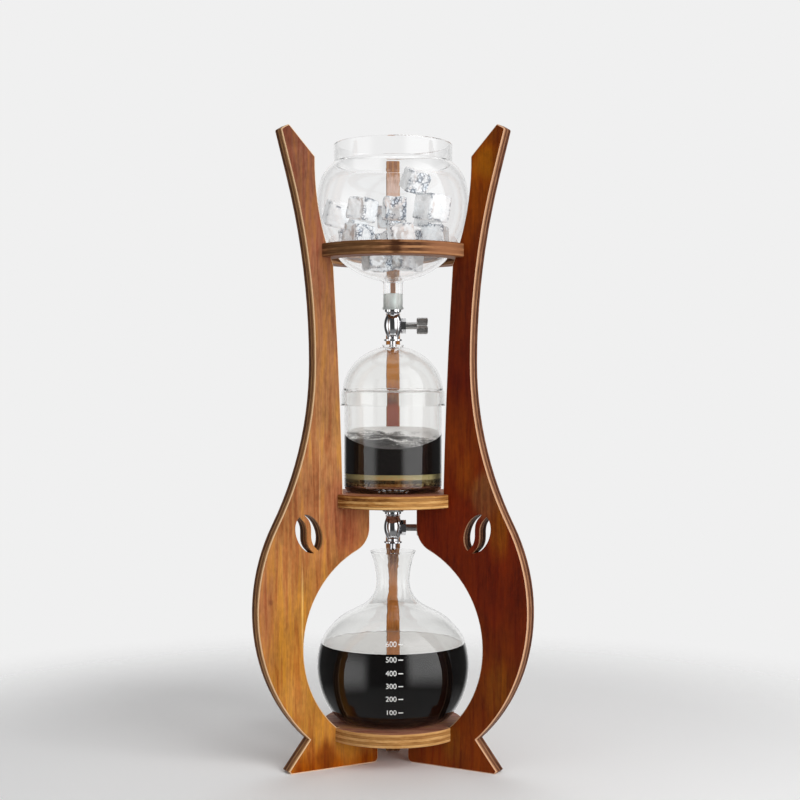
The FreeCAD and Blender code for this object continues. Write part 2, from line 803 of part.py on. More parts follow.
def valve_body(end):
    """Polished barrel with a spigot above, a side port for the stem and a socket for the nozzle below."""
    axis = end - valve_axis_drop
    barrel = turned(chain(
        (0, end + spigot_length), (spigot_radius, end + spigot_length), (spigot_radius, end),
        (valve_flange_radius, end), (valve_flange_radius, end - valve_flange_thickness),
        arc((valve_neck_radius, end - valve_neck_drop), (valve_bulge_radius, axis),
            (valve_foot_radius, end - valve_foot_drop)),
        (valve_foot_radius, end - valve_end_drop), (0, end - valve_end_drop)))
    clear = rod(valve_bulge_radius, port_face, valve_bulge_radius + overshoot, axis)
    port = rod(port_radius, 0, port_reach, axis)
    barrel = barrel.cut(clear).fuse(port)
    foot = end - valve_end_drop
    drip_bore = disc(drip_bore_radius, foot - overshoot, end + spigot_length + overshoot)
    socket = disc(nozzle_spigot_radius, foot - overshoot, foot + nozzle_spigot_length)
    barrel = barrel.cut(drip_bore).cut(socket)
    for radius, start in ((passage_radius, 0), (side_bore_radius, side_bore_reach),
                          (counterbore_radius, counterbore_reach)):
        barrel = barrel.cut(rod(radius, start, port_reach + overshoot, axis))
    return barrel


def drip_nozzle(end):
    """Flanged nozzle screwed into the bottom of a valve."""
    top = end - valve_end_drop
    flange_bottom = top - nozzle_flange_thickness
    tip = flange_bottom - nozzle_length
    spigot = nozzle_spigot_radius - joint_clearance
    spigot_top = top + nozzle_spigot_length - joint_clearance
    waist = nozzle_flange_radius - nozzle_flange_bevel
    return turned(chain(
        (drip_bore_radius, spigot_top), (spigot, spigot_top), (spigot, top),
        (waist, top), (nozzle_flange_radius, top - nozzle_flange_bevel),
        (nozzle_flange_radius, flange_bottom + nozzle_flange_bevel), (waist, flange_bottom),
        (nozzle_radius, flange_bottom), (nozzle_radius, tip + nozzle_bevel),
        (nozzle_radius - nozzle_bevel, tip), (drip_bore_radius, tip)))


def gland_nut(end):
    """Hexagon nut on the side port that holds the packing round the stem."""
    axis = end - valve_axis_drop
    corner = gland_flats / math.sqrt(3)
    corners = []
    for step in range(7):
        angle = math.radians(60 * step + 30)
        corners.append(V(port_face, corner * math.cos(angle), corner * math.sin(angle)))
    nut = Part.Face(Part.makePolygon(corners)).extrude(V(gland_length, 0, 0))
    nut = nut.common(Part.makeSphere(corner * gland_crown, V(port_face + gland_length / 2, 0, 0)))
    inner_end = port_face + gland_length - gland_wall
    nut = nut.cut(rod(port_radius + joint_clearance, port_face - overshoot, inner_end))
    nut = nut.cut(rod(stem_radius + running_clearance, 0, port_face + gland_length + overshoot))
    nut.translate(V(0, 0, axis))
    return nut


def packing_ring(end):
    """Soft ring squeezed between the port's end and the gland nut."""
    axis = end - valve_axis_drop
    inner_end = port_face + gland_length - gland_wall
    ring = rod(port_radius, port_reach, inner_end, axis)
    return ring.cut(rod(stem_radius + running_clearance, 0, port_face + gland_length, axis))


def needle(end):
    """Needle that slides across the drip bore, pinned loosely in the stem's end."""
    axis = end - valve_axis_drop
    cone_end = needle_tip_reach + needle_cone_length
    cone = Part.makeCone(needle_point_radius, needle_radius, needle_cone_length,
                         V(needle_tip_reach, 0, axis), V(1, 0, 0))
    head = rod(needle_radius, cone_end, needle_head_end, axis)
    pin = rod(needle_pin_radius, needle_head_end, needle_head_end + needle_pin_length, axis)
    return cone.fuse([head, pin]).removeSplitter()


def stem(end):
    """Threaded stem that carries the needle inside and the knob outside."""
    axis = end - valve_axis_drop
    thread = rod(stem_thread_radius, stem_end_reach, stem_shoulder_reach, axis)
    shank = rod(stem_radius, stem_shoulder_reach, knob_reach, axis)
    tail = rod(stem_thread_radius, knob_reach, knob_reach + knob_socket_length, axis)
    socket = rod(needle_pin_radius + running_clearance, stem_end_reach - overshoot,
                 needle_head_end + needle_pin_length + needle_pin_play, axis)
    return thread.fuse([shank, tail]).cut(socket)


def knob(end):
    """Knurled knob with a slot across its face."""
    axis = end - valve_axis_drop
    points = []
    for step in range(2 * knob_ridges):
        angle = math.pi * step / knob_ridges
        radius = knob_radius - (knob_ridge_depth if step % 2 else 0)
        points.append(V(knob_reach, radius * math.cos(angle), radius * math.sin(angle)))
    points.append(points[0])
    grip = Part.Face(Part.makePolygon(points)).extrude(V(knob_length, 0, 0))
    blank = Part.makeCylinder(knob_radius, knob_length, V(knob_reach, 0, 0), V(1, 0, 0))
    blank = blank.makeChamfer(knob_bevel, [edge for edge in blank.Edges if edge.BoundBox.XLength < 1e-6])
    grip = grip.common(blank)
    grip = grip.cut(rod(stem_thread_radius, knob_reach - overshoot, knob_reach + knob_socket_length))
    far = knob_reach + knob_length
    slot = Part.makeBox(2 * knob_slot_depth, 4 * knob_radius, knob_slot_width,
                        V(far - knob_slot_depth, -2 * knob_radius, -knob_slot_width / 2))
    grip = grip.cut(slot)
    grip.translate(V(0, 0, axis))
    return grip


# ---------------------------------------------------------------- the whole tower
def all_nodes():
    """Every node of the tower by name."""
    nodes = {}
    board = leg()
    for side, angle in leg_bearings.items():
        nodes["leg_" + side] = swing(board, angle)
        for joint in dowelled_joints:
            nodes[joint + "_dowel_" + side] = swing(dowel(joint), angle)
    nodes["upper_ring"] = upper_ring()
    nodes["middle_shelf"] = middle_shelf()
    nodes["base_shelf"] = shelf("base", base_shelf_radius)
    nodes["ice_globe"] = ice_globe()
    for number, cube in enumerate(ice_cubes(), start=1):
        nodes["ice_cube_%02d" % number] = cube
    nodes["chamber_lid"] = chamber_lid()
    nodes["brew_chamber"] = brew_chamber()
    nodes["filtered_brew"] = filtered_brew()
    nodes["filter_screen"] = filter_screen()
    nodes["filter_cloth"] = chamber_fill(filter_bottom, grounds_bottom)
    nodes["coffee_grounds"] = coffee_grounds()
    nodes["carafe"] = carafe()
    nodes["coffee"] = coffee()
    for place, end in (("upper", globe_outlet_end), ("lower", chamber_outlet_end)):
        nodes[place + "_stopper"] = stopper(end)
        nodes[place + "_valve_body"] = valve_body(end)
        nodes[place + "_drip_nozzle"] = drip_nozzle(end)
        nodes[place + "_gland_nut"] = gland_nut(end)
        nodes[place + "_packing_ring"] = packing_ring(end)
        nodes[place + "_needle"] = needle(end)
        nodes[place + "_stem"] = stem(end)
        nodes[place + "_knob"] = knob(end)
    return nodes


os.makedirs("parts", exist_ok=True)
for name, shape in all_nodes().items():
    shape.exportStep("parts/" + name + ".step")
    print(name, "solids", len(shape.Solids), "valid", shape.isValid(), "volume", round(shape.Volume))
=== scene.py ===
# %% [markdown]
# # A cold drip coffee tower
# Ice water drips from a glass globe through a needle valve into a chamber of ground coffee, and the
# coffee drips through a second valve into a carafe. Three plywood legs and three plywood shelves carry
# the glass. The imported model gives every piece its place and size; this file gives it its looks.

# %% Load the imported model
import json
import math

import bmesh
import bpy
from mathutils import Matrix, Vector, noise

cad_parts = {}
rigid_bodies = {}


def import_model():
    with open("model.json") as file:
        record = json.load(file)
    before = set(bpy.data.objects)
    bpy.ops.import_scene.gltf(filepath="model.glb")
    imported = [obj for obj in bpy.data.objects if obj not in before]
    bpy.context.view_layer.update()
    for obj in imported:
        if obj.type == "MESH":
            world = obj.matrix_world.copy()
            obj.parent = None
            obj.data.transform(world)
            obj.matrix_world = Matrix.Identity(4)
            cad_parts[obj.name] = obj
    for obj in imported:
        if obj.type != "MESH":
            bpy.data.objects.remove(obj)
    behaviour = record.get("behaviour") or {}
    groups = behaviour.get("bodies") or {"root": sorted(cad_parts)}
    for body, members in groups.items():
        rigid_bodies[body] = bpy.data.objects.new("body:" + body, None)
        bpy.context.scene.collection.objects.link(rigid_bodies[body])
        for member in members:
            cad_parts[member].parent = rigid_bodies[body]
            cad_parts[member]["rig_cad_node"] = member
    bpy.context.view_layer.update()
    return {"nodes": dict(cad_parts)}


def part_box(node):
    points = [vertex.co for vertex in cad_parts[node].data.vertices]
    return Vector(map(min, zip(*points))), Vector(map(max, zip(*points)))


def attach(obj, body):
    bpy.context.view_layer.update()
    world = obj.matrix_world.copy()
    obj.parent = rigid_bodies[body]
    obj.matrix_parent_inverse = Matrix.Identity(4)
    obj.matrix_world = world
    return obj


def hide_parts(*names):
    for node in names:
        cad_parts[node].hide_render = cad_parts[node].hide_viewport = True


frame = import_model()
nodes = frame["nodes"]
MM = 0.001

# %% [markdown]
# ## Camera
# The tower is seen straight from the front, from a little over a metre away and level with the drip
# chamber. A long lens and a small shift frame it, so verticals stay vertical.

# %% Camera
camera_distance = 1.128
camera_height = 0.286
frame_pixels = 800
camera_data = bpy.data.cameras.new("camera")
camera_data.sensor_width = 36.0
camera_data.lens = 64.67
camera_data.shift_x = 7 / frame_pixels
camera_data.shift_y = -7 / frame_pixels
camera = bpy.data.objects.new("camera", camera_data)
camera.location = (0.0, -camera_distance, camera_height)
camera.rotation_euler = (math.radians(90), 0.0, 0.0)
bpy.context.scene.collection.objects.link(camera)
bpy.context.scene.camera = camera
bpy.context.scene.view_settings.view_transform = "Standard"
print("camera", tuple(camera.location))

# %% [markdown]
# ## Helpers for materials
# A finish is a tree of shader nodes. One function adds a node, sets it up, links what feeds it and returns
# its output, so that a finish reads from top to bottom. Colours are written as they look on a screen and
# turned to the linear values that a shader needs.


# %% Colours
def linear(colour):
    """Linear RGBA of an sRGB hex colour such as '#A5673A'."""
    channels = []
    for start in (1, 3, 5):
        value = int(colour[start:start + 2], 16) / 255
        channels.append(value / 12.92 if value <= 0.04045 else ((value + 0.055) / 1.055) ** 2.4)
    return (*channels, 1.0)


print("mid brown is", [round(channel, 3) for channel in linear("#A5673A")[:3]])


# %% Nodes
def add(tree, kind, inputs=(), output=0, stops=(), **settings):
    """Adds a node and returns one of its outputs. Inputs are values or outputs of other nodes, in the
    sockets' order or by socket; stops are a colour ramp's (position, hex colour) pairs. A Mix node takes
    its colours at sockets 6 and 7 and gives the mixed one at output 2."""
    node = tree.nodes.new("ShaderNode" + kind)
    for name, value in settings.items():
        setattr(node, name, value)
    if stops:
        elements = node.color_ramp.elements
        while len(elements) < len(stops):
            elements.new(1.0)
        for element, (position, colour) in zip(elements, stops):
            element.position, element.color = position, linear(colour)
    by_socket = inputs if isinstance(inputs, dict) else dict(enumerate(inputs))
    for socket, value in by_socket.items():
        if isinstance(value, bpy.types.NodeSocket):
            tree.links.new(value, node.inputs[socket])
        else:
            node.inputs[socket].default_value = value
    return node.outputs[output] if len(node.outputs) else None


print("nodes can be added")


# %% Materials and patterns
def new_material(name, **sockets):
    """Material with a Principled shader and nothing else; sockets set the shader."""
    material = bpy.data.materials.new(name)
    material.use_nodes = True
    tree = material.node_tree
    tree.nodes.clear()
    surface = add(tree, "BsdfPrincipled", {key.replace("_", " "): value for key, value in sockets.items()})
    add(tree, "OutputMaterial", {"Surface": surface})
    return material, tree, surface.node


def feed(shader, **outputs):
    """Links outputs of other nodes to a shader's sockets."""
    for key, output in outputs.items():
        shader.id_data.links.new(output, shader.inputs[key.replace("_", " ")])


def window(tree, value, span, softness):
    """1 inside a span, 0 outside, with soft edges."""
    low, high = span
    rise = add(tree, "MapRange", [value, low - softness, low + softness], interpolation_type="SMOOTHSTEP")
    fall = add(tree, "MapRange", [value, high + softness, high - softness], interpolation_type="SMOOTHSTEP")
    return add(tree, "Math", [rise, fall], operation="MULTIPLY")


def dress(name, material):
    """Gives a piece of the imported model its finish."""
    nodes[name].data.materials.clear()
    nodes[name].data.materials.append(material)


print("material helpers ready")

# %% [markdown]
# ## Helpers for meshes
# The stoppers, the fills and the floor are turned: a profile of (reach, height) points is spun about the
# vessels' axis. Arcs in a profile come from a centre, a radius and two angles, so that a handful of sizes
# makes a smooth outline.


# %% Arcs of a profile
def circle_points(centre, radius, start, end, step=3.0):
    """Points of a circle between two angles, in degrees anticlockwise from the direction of growing reach."""
    count = max(2, int(abs(end - start) / step) + 1)
    points = []
    for index in range(count + 1):
        angle = math.radians(start + (end - start) * index / count)
        points.append((centre[0] + radius * math.cos(angle), centre[1] + radius * math.sin(angle)))
    return points


def bearing(centre, point):
    """Angle in degrees at which a point lies from a centre."""
    return math.degrees(math.atan2(point[1] - centre[1], point[0] - centre[0]))


print("a quarter circle has", len(circle_points((0.0, 0.0), 1.0, 0, 90)), "points")


# %% Pieces that replace packed ones
def link_mesh(name, mesh, material, body, replaced=()):
    """Links a finished mesh as a piece that rides on a body and may stand for CAD nodes."""
    mesh.materials.append(material)
    piece = bpy.data.objects.new(name, mesh)
    bpy.context.scene.collection.objects.link(piece)
    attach(piece, body)
    if replaced:
        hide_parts(*replaced)


# %% Turned meshes
def lathe(profile, segments=160, closed=False):
    """Mesh of a profile in millimetres spun about the vertical axis; a point on the axis becomes a pole."""
    mesh = bpy.data.meshes.new("turned")
    work = bmesh.new()
    rings = []
    for reach, height in profile:
        if reach < 1e-6:
            rings.append([work.verts.new((0.0, 0.0, height * MM))])
            continue
        ring = []
        for index in range(segments):
            angle = 2 * math.pi * index / segments
            x, y = reach * math.cos(angle), reach * math.sin(angle)
            ring.append(work.verts.new((x * MM, y * MM, height * MM)))
        rings.append(ring)
    pairs = list(zip(rings, rings[1:]))
    if closed:
        pairs.append((rings[-1], rings[0]))
    for low, high in pairs:
        for index in range(segments):
            after = (index + 1) % segments
            corners = [low[index % len(low)], low[after % len(low)],
                       high[after % len(high)], high[index % len(high)]]
            unique = list(dict.fromkeys(corners))
            if len(unique) > 2:
                work.faces.new(unique)
    bmesh.ops.recalc_face_normals(work, faces=work.faces)
    work.to_mesh(mesh)
    work.free()
    mesh.shade_smooth()
    return mesh


print("profiles can be turned")

# %% [markdown]
# ## Plywood
# Legs and shelves are five-ply birch plywood: cut on a router, stained brown by hand and varnished. A face
# shows one veneer with its fibres along the board, and the stain lies on it in darker and lighter marks. An
# edge shows the plies as stripes, every second one end grain, which drinks more stain and goes darker. The
# pattern is worked out in the board's own directions: across the grain, through the plies and along the
# grain, all in millimetres.

# %% Grain sizes and board directions
ply_count = 5
# sizes in millimetres across the grain, through the plies and along the grain
fibre = (0.5, 0.5, 10.0)
figure = (4.0, 4.0, 48.0)
mottle = (2.2, 2.2, 4.5)
stain_patch = (26.0, 26.0, 46.0)
edge_fibre = (3.0, 0.4, 3.0)
edge_blotch = (12.0, 1.3, 12.0)
ply_waver = (60.0, 60.0, 60.0)


def board_directions(tree, vector, turn, axes):
    """A vector's components (across, through, along) in a board that is turned about the vertical."""
    turned = add(tree, "VectorRotate", {"Vector": vector, "Angle": -turn}, rotation_type="Z_AXIS")
    parts = add(tree, "SeparateXYZ", [turned]).node.outputs
    return [parts[axis] for axis in axes]


def stretched_noise(tree, parts, sizes, **sockets):
    """Noise whose grains have a size in millimetres along each of the three directions."""
    scaled = [add(tree, "Math", [part, size * MM], operation="DIVIDE") for part, size in zip(parts, sizes)]
    place = add(tree, "CombineXYZ", scaled)
    return add(tree, "TexNoise", {"Vector": place, "Scale": 1.0, **sockets})


print("fibres", fibre[0], "mm wide")


# %% Stain marks
def stain_marks(tree, colour, parts, wobble, marks):
    """Lays soft marks over a colour: (across, along, half width, half length, colour, strength) in mm."""
    flat = add(tree, "CombineXYZ", [parts[0], parts[2]])
    ragged = add(tree, "Math", [wobble, 1.4, -0.7], operation="MULTIPLY_ADD")
    for across, along, half_width, half_length, mark_colour, strength in marks:
        # distance from the mark's middle, 1 at its border
        place = add(tree, "VectorMath", [flat, (across * MM, along * MM, 0.0)], operation="SUBTRACT")
        size = (half_width * MM, half_length * MM, 1.0)
        place = add(tree, "VectorMath", [place, size], operation="DIVIDE")
        away = add(tree, "VectorMath", [place], "Value", operation="LENGTH")
        away = add(tree, "Math", [away, ragged], operation="ADD")
        amount = add(tree, "MapRange", [away, 1.15, 0.35, 0.0, strength], interpolation_type="SMOOTHSTEP")
        colour = add(tree, "Mix", {0: amount, 6: colour, 7: linear(mark_colour)}, 2, data_type="RGBA")
    return colour


print("marks are laid over the stain")

# %% Veneer face
stain_wander = 60               # how far the borders of the stain's colours wander, in mm


def face_finish(tree, parts, stain, marks):
    """Veneer face: the stain's colour changes along the board and is broken by grain and marks."""
    patches = stretched_noise(tree, parts, stain_patch, Detail=2.0)
    fibres = stretched_noise(tree, parts, fibre, Detail=3.0)
    figures = stretched_noise(tree, parts, figure, Detail=3.0, Distortion=0.6)
    mottles = stretched_noise(tree, parts, mottle, Detail=2.0)

    first, last = stain[0][0], max(stain[-1][0], stain[0][0] + 1)
    along = add(tree, "Math", [patches, stain_wander * MM, parts[2]], operation="MULTIPLY_ADD")
    start, end = ((limit + stain_wander / 2) * MM for limit in (first, last))
    share = add(tree, "MapRange", [along, start, end])
    stops = [((distance - first) / (last - first), tint) for distance, tint in stain]
    colour = add(tree, "ValToRGB", [share], stops=stops)
    colour = stain_marks(tree, colour, parts, patches, marks)

    # where the veneer drank less stain it is more golden, where it drank more it is redder
    hue = add(tree, "ValToRGB", [figures], stops=[(0.36, "#FFE6E0"), (0.5, "#FFFFFF"), (0.64, "#FFFFD8")])
    colour = add(tree, "Mix", {0: 1.0, 6: colour, 7: hue}, 2, data_type="RGBA", blend_type="MULTIPLY")

    # every pattern has its share in how light the veneer is
    tone = add(tree, "Math", [patches, 0.3], operation="MULTIPLY")
    for pattern, weight in ((figures, 0.34), (mottles, 0.16), (fibres, 0.2)):
        tone = add(tree, "Math", [pattern, weight, tone], operation="MULTIPLY_ADD")
    shade = add(tree, "MapRange", [tone, 0.38, 0.62, 0.56, 1.4])
    return add(tree, "VectorMath", {0: colour, "Scale": shade}, operation="SCALE"), fibres


print("stain borders wander", stain_wander, "mm")

# %% Cut edge
glue_line = 0.14                # share of a ply's thickness


def edge_finish(tree, parts, thickness, edge, lean, marks):
    """Cut edge: plies as stripes, with lean to make them lighter towards one face of the board."""
    waver = stretched_noise(tree, parts, ply_waver, Detail=1.0)
    fibres = stretched_noise(tree, parts, edge_fibre, Detail=2.0)
    blotches = stretched_noise(tree, parts, edge_blotch, Detail=3.0)

    # count the plies from one face: whole numbers are plies, the rest is the way through one
    depth = add(tree, "Math", [parts[1], thickness], operation="DIVIDE")
    count = add(tree, "Math", [depth, ply_count, ply_count / 2 - 0.2], operation="MULTIPLY_ADD")
    count = add(tree, "Math", [waver, 0.4, count], operation="MULTIPLY_ADD")
    odd = add(tree, "Math", [add(tree, "Math", [count], operation="FLOOR"), 2.0], operation="MODULO")
    glue = add(tree, "Math", [add(tree, "Math", [count], operation="FRACT"), glue_line],
               operation="LESS_THAN")
    tone = add(tree, "Math", [fibres, 0.3, 0.05], operation="MULTIPLY_ADD")
    for pattern, weight in ((odd, -0.34), (glue, -0.2), (blotches, 0.9), (depth, lean)):
        tone = add(tree, "Math", [pattern, weight, tone], operation="MULTIPLY_ADD")
    colour = add(tree, "ValToRGB", [tone], stops=list(zip((0.15, 0.5, 0.85), edge)))
    return stain_marks(tree, colour, parts, blotches, marks)


print(ply_count, "plies")


# %% Plywood
def plywood(name, turn, axes, thickness, middle, stain, edge, arris, lean=0.0, marks=(), edge_marks=()):
    """Stained and varnished plywood. Stain gives (distance along the board, colour), edge the plies'
    colours from dark to light, and arris the colour of the corner between face and edge: worn, paler wood,
    and on the legs a painted highlight as well."""
    material, tree, shader = new_material(name, Specular_IOR_Level=0.08)
    place = add(tree, "TexCoord", output="Object")
    facing = add(tree, "NewGeometry", output="Normal")
    across, through, along = board_directions(tree, place, turn, axes)
    parts = (across, add(tree, "Math", [through, middle], operation="SUBTRACT"), along)
    face_colour, fibres = face_finish(tree, parts, stain, marks)
    edge_colour = edge_finish(tree, parts, thickness, edge, lean, edge_marks)

    # on a face the normal runs through the plies, on an edge it doesn't, and a bevel lies between
    flatness = add(tree, "Math", [board_directions(tree, facing, turn, axes)[1]], operation="ABSOLUTE")
    on_face = add(tree, "Math", [flatness, 0.9], operation="GREATER_THAN")
    off_edge = add(tree, "Math", [flatness, 0.3], operation="GREATER_THAN")
    on_bevel = add(tree, "Math", [off_edge, on_face], operation="SUBTRACT")
    # the bevel takes the arris colour: worn wood, and on the legs a painted highlight along the corner
    arris_share = add(tree, "Math", [on_bevel, 0.85], operation="MULTIPLY")
    colour = add(tree, "Mix", {0: on_face, 6: edge_colour, 7: face_colour}, 2, data_type="RGBA")
    colour = add(tree, "Mix", {0: arris_share, 6: colour, 7: linear(arris)}, 2, data_type="RGBA")
    roughness = add(tree, "MapRange", {0: fibres, 3: 0.42, 4: 0.6})
    bump = add(tree, "Bump", {"Height": fibres, "Strength": 0.12, "Distance": 0.3 * MM})
    feed(shader, Base_Color=colour, Roughness=roughness, Normal=bump)
    return material


print("plywood ready")

# %% [markdown]
# ## Stain of each board
# The stain was wiped on by hand, so each board has its own run of colours from end to end, with marks
# where it dried thick or thin. The rear leg turns its cut edge to the front, and the marks there are painted
# light and painted shadow: paler where the edge shows through the glass, dark at its foot.

# %% Legs
leg_thickness = 11.5
left_stain = ((0, "#944801"), (28, "#A87030"), (95, "#AC7330"), (200, "#A87046"), (255, "#A67348"),
              (400, "#8C5940"), (487, "#84533F"))
left_marks = ((45, 196, 20, 36, "#A05E44", 0.6), (40, 176, 10, 22, "#A05838", 0.5),
              (62, 12, 9, 20, "#743404", 0.8), (88, 58, 14, 24, "#B88040", 0.6),
              (108, 130, 2.2, 3.0, "#6E4420", 0.8), (96, 150, 7, 40, "#B68048", 0.5),
              (67.5, 205, 0.5, 60, "#C89868", 0.9), (82, 124, 0.9, 42, "#D2A468", 0.8),
              (116, 120, 13, 62, "#9C6246", 0.6), (45, 262, 7, 46, "#B8804E", 0.4),
              (93, 480, 14, 11, "#6E4230", 0.7))
# the right leg's colours are far darker than the left's: partly its own stain, partly painted shade of its
# side turned away from the main lamp
right_stain_and_painted_shade = ((0, "#702F05"), (80, "#622806"), (130, "#5E1C05"), (210, "#6C2206"), (250, "#74300A"),
               (300, "#541505"), (400, "#62260A"), (465, "#924706"), (487, "#7A3A0A"))
right_marks = ((84, 208, 12, 20, "#8E5832", 0.7), (95, 180, 10, 26, "#8A4E10", 0.6),
               (93, 66, 13, 26, "#7C4610", 0.5), (84, 460, 16, 14, "#98580E", 0.7),
               (40, 182, 16, 26, "#681E08", 0.5), (66, 225, 9, 20, "#86400C", 0.6),
               (92, 482, 14, 12, "#6A320C", 0.6), (45, 330, 4, 90, "#460C04", 0.6),
               (54, 20, 12, 18, "#74420E", 0.6))
rear_stain = ((0, "#7A4A20"), (200, "#9C5C30"), (487, "#9A6844"))
# painted light and painted shadow on the rear edge: colours set where it shows through the dome, the carafe
# neck and the globe, mostly paler than the stain to make up for shade behind the glass, and a dark painted
# shadow on the foot
rear_edge_painted_light_and_shadow = ((55, 266, 26, 18, "#9C380A", 0.9), (55, 290, 26, 8, "#B8683A", 0.7),
                   (55, 308, 26, 20, "#D88C3C", 0.9), (72, 116, 30, 34, "#F09C58", 0.9),
                   (100, 20, 60, 30, "#2E2628", 0.95), (64, 440, 20, 60, "#F0D0C0", 0.9))
leg_finishes = {
    # bearing in degrees, stain, plies, arris, lean, marks on the face, marks on the edge
    # the legs' pale arris colours are worn wood with a painted highlight on top
    "left": (210, left_stain, ("#4E3424", "#946444", "#C0925E"), "#ECC8A0", 0.75, left_marks, ()),
    "right": (330, right_stain_and_painted_shade, ("#3E241C", "#764C36", "#A87C5C"), "#D8AC88", -0.5, right_marks, ()),
    "rear": (90, rear_stain, ("#7A4420", "#A06434", "#B88048"), "#B98452", 0.0, (), rear_edge_painted_light_and_shadow),
}
for side, (turn, *finish) in leg_finishes.items():
    dress("leg_" + side, plywood("stained_plywood_leg_" + side, math.radians(turn), (0, 1, 2),
                                 leg_thickness * MM, 0.0, *finish))
print("legs finished")

# %% Shelves
# on the ring's front: darker on the left, a small dark knot in the middle, lighter on the right
ring_marks = ((-62, -34, 40, 34, "#644628", 0.6), (-62, 2, 12, 5, "#3A2012", 0.8),
              (-62, 44, 40, 22, "#9C6A4A", 0.7))
# on the middle shelf's front: darker on the left, lighter on the right
middle_marks = ((-50, -44, 24, 14, "#6A3A14", 0.7), (-50, 20, 30, 26, "#C8965A", 0.4))
shelf_finishes = {
    # face, plies, arris, lean, marks on the edge
    "upper_ring": ("#96664A", ("#3A2216", "#80563A", "#B4845A"), "#7A5034", -0.25, ring_marks),
    "middle_shelf": ("#A8705A", ("#5E3616", "#B07A40", "#DCB072"), "#7C4A24", -0.4, middle_marks),
    "base_shelf": ("#B07A64", ("#84582E", "#B0804A", "#CCA068"), "#C49460", -0.1, ()),
}
for name, (face, edge, arris, lean, edge_marks) in shelf_finishes.items():
    low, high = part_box(name)
    dress(name, plywood("stained_plywood_" + name, 0.0, (1, 2, 0), high.z - low.z, (high.z + low.z) / 2,
                        ((0, face), (1, face)), edge, arris, lean, (), edge_marks))
print("plywood on", len(leg_finishes) + len(shelf_finishes), "pieces")

# %% [markdown]
# ## Beech dowels
# Turned beech pins hold the joints of the frame, hidden in the wood. The frame can be taken apart, so they
# are dressed all the same, in pale beech with fine pores.

# %% Beech
pore_size = 0.8
beech, tree, shader = new_material("turned_beech", Roughness=0.6)
place = add(tree, "TexCoord", output="Object")
pores = add(tree, "TexNoise", {"Vector": place, "Scale": 1 / (pore_size * MM), "Detail": 2.0})
feed(shader, Base_Color=add(tree, "ValToRGB", [pores], stops=[(0.35, "#A87C4E"), (0.65, "#CFA676")]))
for name in nodes:
    if "dowel" in name:
        dress(name, beech)
print(sum("dowel" in name for name in nodes), "dowels")

# %% [markdown]
# ## Borosilicate glass
# The globe, lid, chamber and carafe are blown and turned borosilicate glass, clear with an index of 1.47.
# Each wall is a real wall with two sides, so the shader bends light as the glass does. Lamps can't send
# sharp light through bent glass in a short render, so rays on their way to a lamp pass straight through.
# So does a ray that has bounced many times inside the glass, which would otherwise end as a black spot.


# %% Clear glass
def let_lamps_through(tree, shader, tint, last_bounce=4):
    """Lets rays that look for a lamp, and rays past their last bounce, go straight through."""
    surface = shader.outputs[0].links[0].to_socket
    path = add(tree, "LightPath").node.outputs
    straight = add(tree, "Math", [path["Is Shadow Ray"], path["Is Diffuse Ray"]], operation="MAXIMUM")
    trapped = add(tree, "Math", [path["Ray Depth"], last_bounce + 0.5], operation="GREATER_THAN")
    straight = add(tree, "Math", [straight, trapped], operation="MAXIMUM")
    clear = add(tree, "BsdfTransparent", [linear(tint)])
    tree.links.new(add(tree, "MixShader", [straight, shader.outputs[0], clear]), surface)


def clear_glass(name, tint):
    """Polished glass, clear but for a faint tint."""
    material, tree, shader = new_material(name, Base_Color=linear(tint), Roughness=0.0, IOR=1.47,
                                          Transmission_Weight=1.0)
    let_lamps_through(tree, shader, "#FEFEFE")
    return material


blown_glass = clear_glass("blown_borosilicate_glass", "#FFFFFF")
turned_glass = clear_glass("turned_borosilicate_glass", "#FBFBFA")
dress("ice_globe", blown_glass)
for name in ("chamber_lid", "brew_chamber", "carafe"):
    dress(name, turned_glass)
print("glass dressed")

# %% [markdown]
# ## Metals
# The valves are turned brass with bright chrome plating: nearly white, very smooth, so it shows its
# surroundings. Stem and knob are turned steel, whose lathe marks run round the axis and blur reflections.
# The screen is punched from steel sheet and duller.

# %% Chrome and steel
haze_size = 5.0                 # all sizes in millimetres
lathe_mark = 0.35               # the real marks are finer than the render can show
wear_size = 6.0
chrome, tree, shader = new_material("bright_chrome_plate", Metallic=1.0)
place = add(tree, "TexCoord", output="Object")
haze = add(tree, "TexNoise", {"Vector": place, "Scale": 1 / (haze_size * MM), "Detail": 3.0})
feed(shader, Base_Color=add(tree, "ValToRGB", [haze], stops=[(0.35, "#CFCFD2"), (0.65, "#E4E4E6")]),
     Roughness=add(tree, "MapRange", {0: haze, 3: 0.02, 4: 0.12}))

steel, tree, shader = new_material("turned_steel", Metallic=1.0)
along = add(tree, "SeparateXYZ", [add(tree, "TexCoord", output="Object")])
along = add(tree, "Math", [along, lathe_mark * MM], operation="DIVIDE")
marks = add(tree, "TexNoise", {"W": along, "Scale": 1.0}, noise_dimensions="1D")
feed(shader, Base_Color=add(tree, "ValToRGB", [marks], stops=[(0.3, "#A8A6A4"), (0.7, "#E0DEDC")]),
     Roughness=add(tree, "MapRange", {0: marks, 3: 0.24, 4: 0.42}))

punched_steel, tree, shader = new_material("punched_steel_sheet", Metallic=1.0, Roughness=0.35)
place = add(tree, "TexCoord", output="Object")
wear = add(tree, "TexNoise", {"Vector": place, "Scale": 1 / (wear_size * MM), "Detail": 3.0})
feed(shader, Base_Color=add(tree, "ValToRGB", [wear], stops=[(0.35, "#76706A"), (0.65, "#9A9A9A")]))
dress("filter_screen", punched_steel)
print("metals ready")

# %% [markdown]
# ## Silicone stoppers and packing
# The stoppers are moulded silicone, milky, and let some light through. A stopper is pressed into its glass
# tube, so its piece is a spun ring that reaches a hair into the glass: no film of air shows between them.
# The packing rings in the valves are turned PTFE, plain white.

